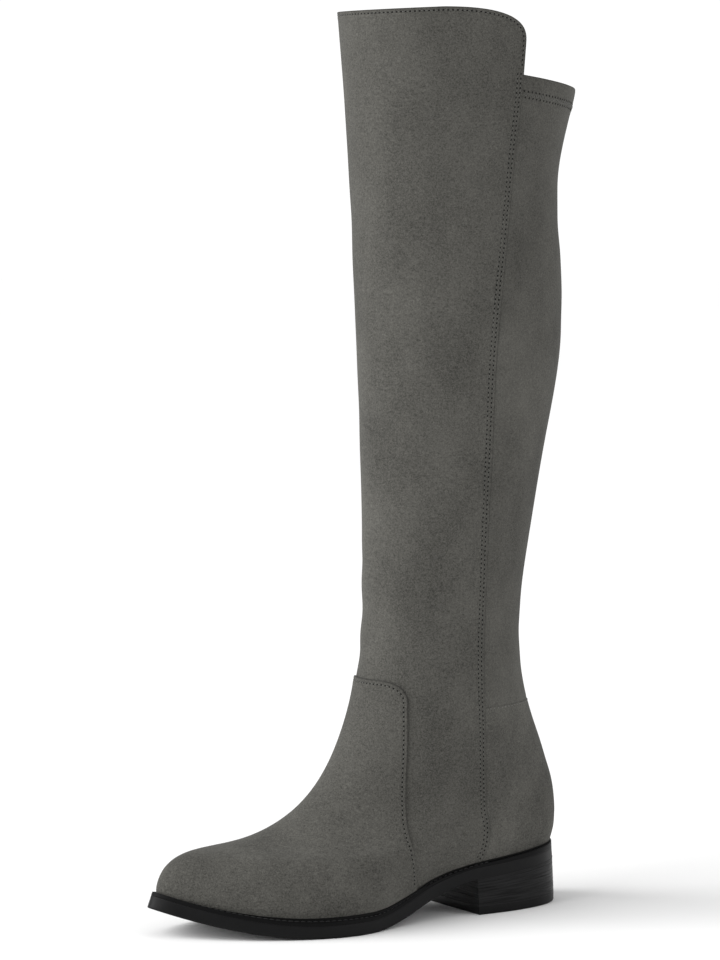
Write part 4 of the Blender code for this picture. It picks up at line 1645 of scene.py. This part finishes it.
    def over_top(self, panel: Panel, low: int, inset: float, pitch: float) -> Row:
        """Row that climbs one side edge of a panel, runs under its top and comes down the other.

        Args:
            panel: The panel.
            low: Grid row from which it starts.
            inset: Its distance from the rim.
            pitch: Length of a stitch.

        Returns:
            The row.
        """
        rows, columns = panel.place.shape
        r = np.concatenate([np.arange(low, rows - 1), np.full(columns, rows - 1),
                            np.arange(rows - 2, low - 1, -1)])
        c = np.concatenate([np.zeros(rows - 1 - low, int), np.arange(columns),
                            np.full(rows - 1 - low, columns - 1)])
        ri, ci = np.clip(r, 0, rows - 6), np.clip(c, 5, columns - 6)
        rim = self.last.lifted(panel.place[r, c], panel.turn[r, c], panel.outer)
        length = run_length(rim)
        even = np.linspace(0, length[-1], int(length[-1] / 1.2))
        read = [np.interp(even, length, values[r, c]) for values in (panel.place, panel.turn)]
        read += [np.interp(even, length, values[ri, ci]) for values in (panel.place, panel.turn)]
        route = inset_route(panel, *read, inset)
        return Row.lay(self.last, *route, panel.outer, pitch)

    def sew_hem(self, back: Panel) -> None:
        """Sews the back panel's hem: a zigzag between two levels under its top.

        Args:
            back: The back panel.
        """
        edge, inside = ([values[row, 3:-3] for values in (back.place, back.turn)] for row in (-1, -6))
        high, low = (inset_route(back, *edge, *inside, depth) for depth in self.hem_rows)
        away = back.outer + 0.25
        top = self.last.lifted(*high, away)
        foot = self.last.lifted(*low, away)
        length = run_length(top)
        at = np.linspace(0, length[-1], 2 * int(length[-1] / self.zigzag_pitch) + 1)
        corners = np.empty((len(at), 3))
        corners[0::2] = read_path(at[0::2], length, top)
        corners[1::2] = read_path(at[1::2], length, foot)
        out = self.last.normal(np.interp(at, length, high[0]), np.interp(at, length, high[1]))
        middle = (corners[1:] + corners[:-1]) / 2
        step = corners[1:] - corners[:-1]
        normal = unit(out[1:] + out[:-1])
        along = unit(step - (step * normal).sum(-1, keepdims=True) * normal)
        zigzag = Stitch(pitch=3.7, length=2.7, radius=0.24, hole=0.7, sink=0.02)
        row = Row(middle, along, normal)
        spread(row, zigzag.thread(), "hem_thread", THREAD)
        # Dark caps at the zigzag's ends: painted shade for the needle holes.
        spread(row, zigzag.hole_shade_cap(), "hem_hole_shades", HOLE_SHADE)

    def make_rows(self, name: str, rows: Sequence[Row], stitch: Stitch) -> None:
        """Makes the threads and the caps of painted hole shade of several rows as one mesh each.

        Args:
            name: Start of the names of the two pieces.
            rows: The rows.
            stitch: Size of their stitches.
        """
        whole = rows[0]
        for row in rows[1:]:
            whole = whole.joined(row)
        spread(whole, stitch.thread(), name + "_thread", THREAD)
        # Dark caps at each stitch's ends: painted shade for the needle holes.
        spread(whole, stitch.hole_shade_cap(), name + "_hole_shades", HOLE_SHADE)

    def build(self) -> None:
        """Builds the whole upper."""
        front = self.front_panel()
        back = self.back_panel()
        counter = self.counter()
        vamp = self.vamp()
        self.lining()
        self.sew(front, vamp, back, counter)


# --- The bottom ----------------------------------------------------------------------------------

def grooves(along: Array, pitch: float) -> Array:
    """Row of flat-bottomed grooves, 1 in a groove and 0 beside it."""
    return np.clip(np.sin(along * 2 * math.pi / pitch) * 3 - 1.6, 0, 1)


@dataclass
class Bottom:
    """Everything under the upper: welt, outsole, stacked heel, top lift and sock.

    Attributes:
        sole: Outline and profile of the sole.
        last: The last, for the parts that follow the foot of the upper.
        around: Number of columns round the sole.
        across: Number of strips from side to side of a face.
        breast_columns: Number of points across the heel's breast.
        layers: Number of layers of the heel.
        tread_pitch: Distance between two chevrons of the tread.
        lift_pitch: The same between two grooves of the top lift.
        lip: Places on the last and distances outside the upper of the welt's lip, a dark bead that
            partly stands as painted shade for the groove above the welt.
        lip_foot: Place on the last where the lip starts.
        lip_share: Places along the boot, and the share of its full height that the lip has there.
        welt_rise: Places along the boot, and how far the welt's top edge rises there.
        welt_room: Room between the upper and the welt.
        heel_columns: Number of columns on each side of the heel.
        heel_top: Insets and rises of the rings with which the heel laps over the outsole's bevel.
    """

    sole: Sole
    last: Last
    around: int = 420
    across: int = 22
    breast_columns: int = 11
    layers: int = 9
    tread_pitch: float = 9.0
    lift_pitch: float = 6.0
    lip: tuple[Pair, ...] = (
        (0.5, 0.9), (0.7, 0.72), (0.78, 0.5), (0.8, 0.1), (0.7, -0.3), (0.4, -0.2))
    lip_foot: float = 0.22
    lip_share: tuple[tuple[float, ...], ...] = (
        (-225.0, -190.0, -140.0, -95.0, -72.0, -42.0, -10.0, 34.0),
        (0.6, 0.5, 0.4, 0.8, 0.65, 0.15, 0.45, 0.9))
    welt_rise: tuple[tuple[float, ...], ...] = (
        (-75.0, -45.0, -15.0, 10.0, 36.0),
        (0.0, -1.1, 0.0, 0.8, 1.3))
    welt_room: float = 0.2
    heel_columns: int = 70
    heel_top: tuple[Pair, ...] = (
        (-0.08, 0.3), (-0.08, 0.95), (-0.03, 1.0), (0.0, 0.45), (0.27, 0.05), (0.8, 0.0))

    def turns(self) -> Array:
        """Turns round the sole, evenly spaced."""
        return np.linspace(0, 2 * math.pi, self.around, endpoint=False)

    def sole_rings(self, steps: Sequence[Pair]) -> list[Array]:
        """Rings round the sole, for steps of inset and depth."""
        return [self.sole.ring(self.turns(), inset, depth) for inset, depth in steps]

    def plate(self, name: str, rings: Sequence[Array], finish: Finish, node: str,
              tread: Field | None = None, end: int = 1) -> None:
        """Closed plate: a side through rings of one count, with a face across each end.

        Args:
            name: Name of the piece.
            rings: Rings from the lowest to the highest.
            finish: Its finish.
            node: CAD node that it stands for.
            tread: Rise of the lowest face at its points, if it has relief.
            end: Number of points in a ring's straight front end, 1 for a tip.
        """
        count = len(rings[0])
        whole = np.concatenate(rings)
        points = [whole]
        ids = np.arange(len(whole)).reshape(-1, count)
        faces: list[Sequence[int]] = [*strip_quads(ids[::-1])]
        start = len(whole)
        side = (count - end) // 2
        share = np.linspace(0, 1, self.across + 1)[1:-1]
        for ring, relief, flip in ((ids[0], tread, True), (ids[-1], None, False)):
            left, right = ring[1:side + 1], ring[:-side - 1:-1]
            inner = whole[left][:, None, :] + (whole[right] - whole[left])[:, None, :] * share[:, None]
            if relief is not None:
                inner[..., 2] += relief(inner.reshape(-1, 3)).reshape(inner.shape[:2])
            inner_ids = start + np.arange(inner[..., 0].size).reshape(inner.shape[:2])
            start += inner_ids.size
            points.append(inner.reshape(-1, 3))
            grid = np.column_stack([left, inner_ids, right])
            faces += [*grid_quads(grid, flip=flip)]
            faces += zip_rows([ring[0]], grid[0], flip)
            faces += zip_rows(grid[-1], ring[side + 1:len(ring) - side], flip)
        make_piece(name, np.concatenate(points), faces, finish, (node,), flat_above=SOLE_SHARP)

    def inside_distance(self, points: Array) -> Array:
        """Distance of points from the sole's outline, in plan."""
        outline = self.sole.points(np.linspace(0, 2 * math.pi, 240, endpoint=False), 0.0)
        return np.linalg.norm(points[:, None, :2] - outline[None, :, :], axis=2).min(axis=1)

    def tread(self, points: Array) -> Array:
        """Rise of the outsole's face into its tread grooves: chevrons inside a plain border.

        Args:
            points: Points of the face.

        Returns:
            The rise, for each point.
        """
        inside = self.inside_distance(points)
        x, y = points[:, 0], points[:, 1]
        slant, middle_x = 0.35, 2.0
        groove = grooves(y + slant * np.abs(x - middle_x), self.tread_pitch)
        zone = ramp(inside, 7.0, 1.5) * ramp(-y, 62.0, 3.0)
        border = bell(inside - 5.5, 0.8) * ramp(-y, 40.0, 6.0)
        return 0.7 * groove * zone + 0.5 * border

    def outsole(self) -> None:
        """The outsole with its bevelled foot, plain side and thin top bead."""
        thick = OUTSOLE_THICK
        rings = self.sole_rings((
            (0.9, 0.0), (0.35, 0.12), (0.08, 0.45), (0.0, 1.0), (0.0, 2.6), (0.04, 4.4),
            (0.0, thick - 0.6), (0.02, thick), (0.1, thick + 0.13)))
        self.plate("sole_unit", rings, SOLE_RUBBER, "outsole", self.tread)

    def foot_ring(self, place: float, away: Field, depth: float) -> Array:
        """Ring round the foot of the last.

        Args:
            place: Place on the last.
            away: How far it is pushed out, at places along the boot.
            depth: Its depth in the sole.

        Returns:
            Points, one for each turn.
        """
        ring = self.last.surface(np.full(self.around, place), self.turns())[:, :2]
        plan = ring + plan_outward(ring) * away(ring[:, 1])[:, None]
        return np.column_stack([plan, self.sole.above(plan[:, 1], depth)])

    def cover(self, y: Array) -> Array:
        """Thickness of what the last wears round its foot, with the room outside it.

        Args:
            y: Places along the boot.

        Returns:
            Thicknesses, one for each place.
        """
        toe, ease = WALL_FRONT + GAP + VAMP_THICK, 6.0
        vamp_y = float(VAMP_EDGE["edge_y"][0])
        seam_y = FOOT_SECTIONS[0][-1]
        return np.interp(y, (vamp_y, vamp_y + ease, seam_y, seam_y + ease),
                         (toe, WALL_FRONT, WALL_FRONT, WALL_BACK)) + self.welt_room

    def welt(self) -> None:
        """The welt with a sunk channel for its stitches, and the stitches themselves."""
        low = OUTSOLE_THICK + GAP / 2
        high = OUTSOLE_THICK + GAP + WELT_THICK
        foot = self.sole_rings(((0.1, low), (0.02, low + 0.12), (0.0, low + 0.4)))
        edge = self.sole_rings(((0.0, high - 0.45), (0.08, high - 0.15), (0.3, high)))
        top = self.foot_ring(0.4, self.cover, high)
        for ring in (*edge, top):
            ring[:, 2] += np.interp(ring[:, 1], *self.welt_rise)
        outer = foot + edge
        sunk = []
        for share, drop in ((0.25, 0.0), (0.42, 0.35), (0.62, 0.35), (0.8, 0.0)):
            ring = outer[-1] + (top - outer[-1]) * share
            ring[:, 2] -= drop
            sunk.append(ring)
        # The lip rises up the upper in the welt's near-black finish: a real bead, and partly painted
        # shade of the groove.
        sunk += [self.lip_ring(*step) for step in self.lip]
        inner = self.foot_ring(0.0, self.cover, low)
        rings = [*outer, *sunk, inner]
        ids = np.arange(len(rings) * self.around).reshape(-1, self.around)
        faces = strip_quads([ids[0], *ids[::-1]])
        make_piece("welt_strip", np.concatenate(rings), faces, WELT_SHADE_RUBBER, ("welt",),
                   flat_above=SOLE_SHARP)
        self.sew_welt(outer[-1] + (top - outer[-1]) * 0.52)

    def lip_ring(self, place: float, away: float) -> Array:
        """Ring of the welt's lip, whose near-black colour is partly painted shade of the groove.

        Args:
            place: Place on the last.
            away: Distance outside what the last wears there.

        Returns:
            Points, one for each turn.
        """
        turns = self.turns()
        y = self.last.surface(np.full(self.around, place), turns)[:, 1]
        places = self.lip_foot + (place - self.lip_foot) * np.interp(y, *self.lip_share)
        return self.last.lifted(places, turns, self.cover(y) - self.welt_room + away)

    def sew_welt(self, channel: Array) -> None:
        """The welt's stitches, from one end of the heel's breast round the toe to the other.

        Args:
            channel: Ring that the stitches lie on.
        """
        stitch = Stitch(pitch=3.6, length=2.9, radius=0.36, hole=0.4, sink=0.0)
        front = channel[channel[:, 1] < HEEL_BACK_Y - BREAST + 6]
        length = run_length(front)
        at = np.arange(0.5, int(length[-1] / stitch.pitch)) * stitch.pitch
        middle = read_path(at, length, front)
        along = unit(read_path(at + 0.8, length, front) - read_path(at - 0.8, length, front))
        slope = self.sole.slope(middle[:, 1])
        up = unit(np.column_stack([np.zeros(len(at)), -slope, np.ones(len(at))]))
        up = unit(up - (up * along).sum(-1, keepdims=True) * along)
        spread(Row(middle - up * 0.1, along, up), stitch.thread(), "welt_thread", WELT_THREAD)

    def insole(self) -> None:
        """The sock on its board, with a soft edge."""
        low = OUTSOLE_THICK + GAP
        high = low + INSOLE_THICK
        steps = ((0.5, low), (0.4, low + 1.0), (0.45, high - 0.7), (0.8, high - 0.2), (1.6, high))
        rings = [self.foot_ring(0.0, lambda y, inset=inset: np.full_like(y, -inset), depth)
                 for inset, depth in steps]
        self.plate("sock", rings, SOCK, "insole")

    def heel_plan(self, flare: float, length: float) -> Array:
        """Plan of the heel, up to its straight breast.

        Args:
            flare: How far it is spread at its widest.
            length: Length from its back to its breast.

        Returns:
            Points (X, Y), in order round it.
        """
        turns = np.linspace(0, math.acos(1 - 2 * length / SOLE_LENGTH), self.heel_columns)
        ring = self.sole.points(np.concatenate([turns, -turns[:0:-1]]), 0.0)
        outer, inner = ring[:self.heel_columns], ring[self.heel_columns:]
        share = np.linspace(0, 1, self.breast_columns)[1:-1, None]
        breast = outer[-1] + (inner[0] - outer[-1]) * share
        return np.concatenate([outer, breast, inner]) * (1 + flare / BALL_HALF_WIDTH)

    def heel(self) -> None:
        """The stacked heel, whose layers are level below and follow the seat above, and its lift."""
        seat_plan = self.heel_plan(0.0, HEEL_TOP_LENGTH)
        foot_plan = self.heel_plan(HEEL_FLARE, HEEL_FOOT_LENGTH)
        low = LIFT_THICK + GAP / 2
        seat = self.sole.underside(seat_plan[:, 1]) + 0.05
        along = np.arange(len(seat_plan)) * 2 * math.pi / len(seat_plan)
        rings = []
        for layer in range(self.layers):
            depth = 0.1 + 0.05 * math.sin(2.4 * layer)
            for share, inset in ((0.0, depth), (0.1, 0.02), (0.5, -0.03), (0.9, 0.02)):
                waver = 0.1 * np.sin(3 * along + 1.7 * layer) + 0.07 * np.sin(7 * along + 2.9 * layer)
                t = (layer + share + (waver if layer else 0.0)) / self.layers
                t = np.minimum(t, 1.0)[:, None] if layer else np.full((len(along), 1), t)
                plan = foot_plan + (seat_plan - foot_plan) * t
                plan = plan - plan_outward(plan) * inset
                rings.append(np.column_stack([plan, low + (seat - low) * t[:, 0]]))
        for inset, rise in self.heel_top:
            rings.append(np.column_stack([seat_plan - plan_outward(seat_plan) * inset, seat + rise]))
        self.plate("heel_stack", rings, HEEL_STACK, "heel_block",
                   end=self.breast_columns)
        steps = ((0.9, 0.0), (0.4, 0.12), (0.1, 0.45), (0.0, 1.0), (0.0, LIFT_THICK - 0.2),
                 (0.08, LIFT_THICK + 0.1))
        rings = []
        for inset, height in steps:
            plan = foot_plan - plan_outward(foot_plan) * inset
            rings.append(np.column_stack([plan, np.full(len(plan), height)]))
        self.plate("top_lift", rings, LIFT_RUBBER, "heel_lift", self.lift_tread,
                   self.breast_columns)

    def lift_tread(self, points: Array) -> Array:
        """Rise of the lift's face into its fine grooves.

        Args:
            points: Points of the face.

        Returns:
            The rise, for each point.
        """
        inside, y = self.inside_distance(points), points[:, 1]
        return 0.5 * grooves(y, self.lift_pitch) * ramp(inside, 6.0, 1.5) * ramp(y, -27.0, 2.0)

    def build(self) -> None:
        """Builds the whole bottom."""
        self.outsole()
        self.welt()
        self.insole()
        self.heel()


# --- The studio ----------------------------------------------------------------------------------

@dataclass(frozen=True)
class Lamp:
    """A soft rectangular light that looks at the boot.

    Attributes:
        name: Its name.
        place: Where it stands, in metres.
        size: Its width and height, in metres.
        power: Its power, in watts.
    """

    name: str
    place: tuple[float, float, float]
    size: Pair
    power: float

    def build(self, target: Vector) -> None:
        """Hangs the light and turns it to its target.

        Args:
            target: The place that it looks at.
        """
        light = bpy.data.lights.new(self.name, "AREA")
        light.shape = "RECTANGLE"
        light.size, light.size_y = self.size
        light.energy = self.power
        lamp = bpy.data.objects.new(self.name, light)
        lamp.location = self.place
        lamp.rotation_euler = (target - lamp.location).to_track_quat("-Z", "Y").to_euler()
        bpy.context.scene.collection.objects.link(lamp)


@dataclass
class Studio:
    """Floor, light and camera.

    Attributes:
        camera_place: Where the camera stands, in metres.
        camera_target: What it looks at, in metres.
        lens: Focal length for a 36 mm sensor along the picture's longer side.
        sky: Strength of the light from all around.
        backdrop: Strength of the white behind the boot.
        sun_angles: The main light's angle from straight above and its turn from the toe's side.
        sun_power: Its strength.
        sun_spread: Its width in degrees, which softens its shadows.
        floor_tone: How pale the floor is.
        lamp_target: What the soft lights look at.
        lamps: The soft lights.
    """

    camera_place: tuple[float, float, float] = (1.8990, -1.2811, 0.4356)
    camera_target: tuple[float, float, float] = (-0.0574, -0.0604, 0.2506)
    lens: float = 145.14
    sky: float = 0.62
    backdrop: float = 1.05
    sun_angles: Pair = (55.0, -14.0)
    sun_power: float = 2.35
    sun_spread: float = 60.0
    floor_tone: float = 0.975
    lamp_target: tuple[float, float, float] = (0.0, -0.04, 0.25)
    lamps: tuple[Lamp, ...] = (
        Lamp("edge_light", (-1.2, -1.9, 0.9), (0.9, 1.6), 16.0),
        Lamp("fill_light", (2.0, 1.2, 0.9), (1.0, 1.6), 8.0),
    )

    def build(self) -> None:
        """Sets the floor, the light and the camera."""
        scene = bpy.context.scene
        scene.view_settings.view_transform = "Standard"
        self.floor()
        world = bpy.data.worlds.new("studio")
        world.use_nodes = True
        tree = Tree(world.node_tree)
        seen = tree.add("LightPath").outputs["Is Camera Ray"]
        strength = tree.math("MULTIPLY_ADD", seen, self.backdrop - self.sky, self.sky)
        background = world.node_tree.nodes["Background"]
        tree.put(background, Strength=strength)
        background.inputs["Color"].default_value = (1.0, 1.0, 1.0, 1)
        scene.world = world
        self.main_light()
        for lamp in self.lamps:
            lamp.build(Vector(self.lamp_target))
        camera = bpy.data.objects.new("camera", bpy.data.cameras.new("camera"))
        camera.data.lens = self.lens
        camera.data.clip_start = 0.05
        camera.data.clip_end = 60.0
        camera.location = self.camera_place
        look = Vector(self.camera_target) - camera.location
        camera.rotation_euler = look.to_track_quat("-Z", "Y").to_euler()
        scene.collection.objects.link(camera)
        scene.camera = camera

    def main_light(self) -> None:
        """Hangs the broad main light, which falls from the toe's side."""
        light = bpy.data.lights.new("main_light", "SUN")
        light.energy = self.sun_power
        light.angle = math.radians(self.sun_spread)
        lamp = bpy.data.objects.new("main_light", light)
        lean, turn = (math.radians(angle) for angle in self.sun_angles)
        lamp.rotation_euler = (lean, 0.0, turn)
        bpy.context.scene.collection.objects.link(lamp)

    def floor(self) -> None:
        """Plain pale floor."""
        reach = 12.0
        corners = [(-reach, -reach, 0), (reach, -reach, 0), (reach, reach, 0), (-reach, reach, 0)]
        mesh = bpy.data.meshes.new("floor")
        mesh.from_pydata(corners, [], [(0, 1, 2, 3)])
        material = bpy.data.materials.new("pale_floor")
        material.use_nodes = True
        shader = material.node_tree.nodes["Principled BSDF"]
        shader.inputs["Base Color"].default_value = (*[self.floor_tone] * 3, 1)
        shader.inputs["Roughness"].default_value = 0.9
        shader.inputs["Specular IOR Level"].default_value = 0.1
        mesh.materials.append(material)
        floor = bpy.data.objects.new("floor", mesh)
        bpy.context.scene.collection.objects.link(floor)


def main() -> None:
    """Builds the boot and its studio."""
    logging.basicConfig(level=logging.INFO, format="%(name)s: %(message)s")
    sole = Sole()
    last = Last(sole)
    Upper(last).build()
    Bottom(sole, last).build()
    Studio().build()


if __name__ == "__main__":
    main()
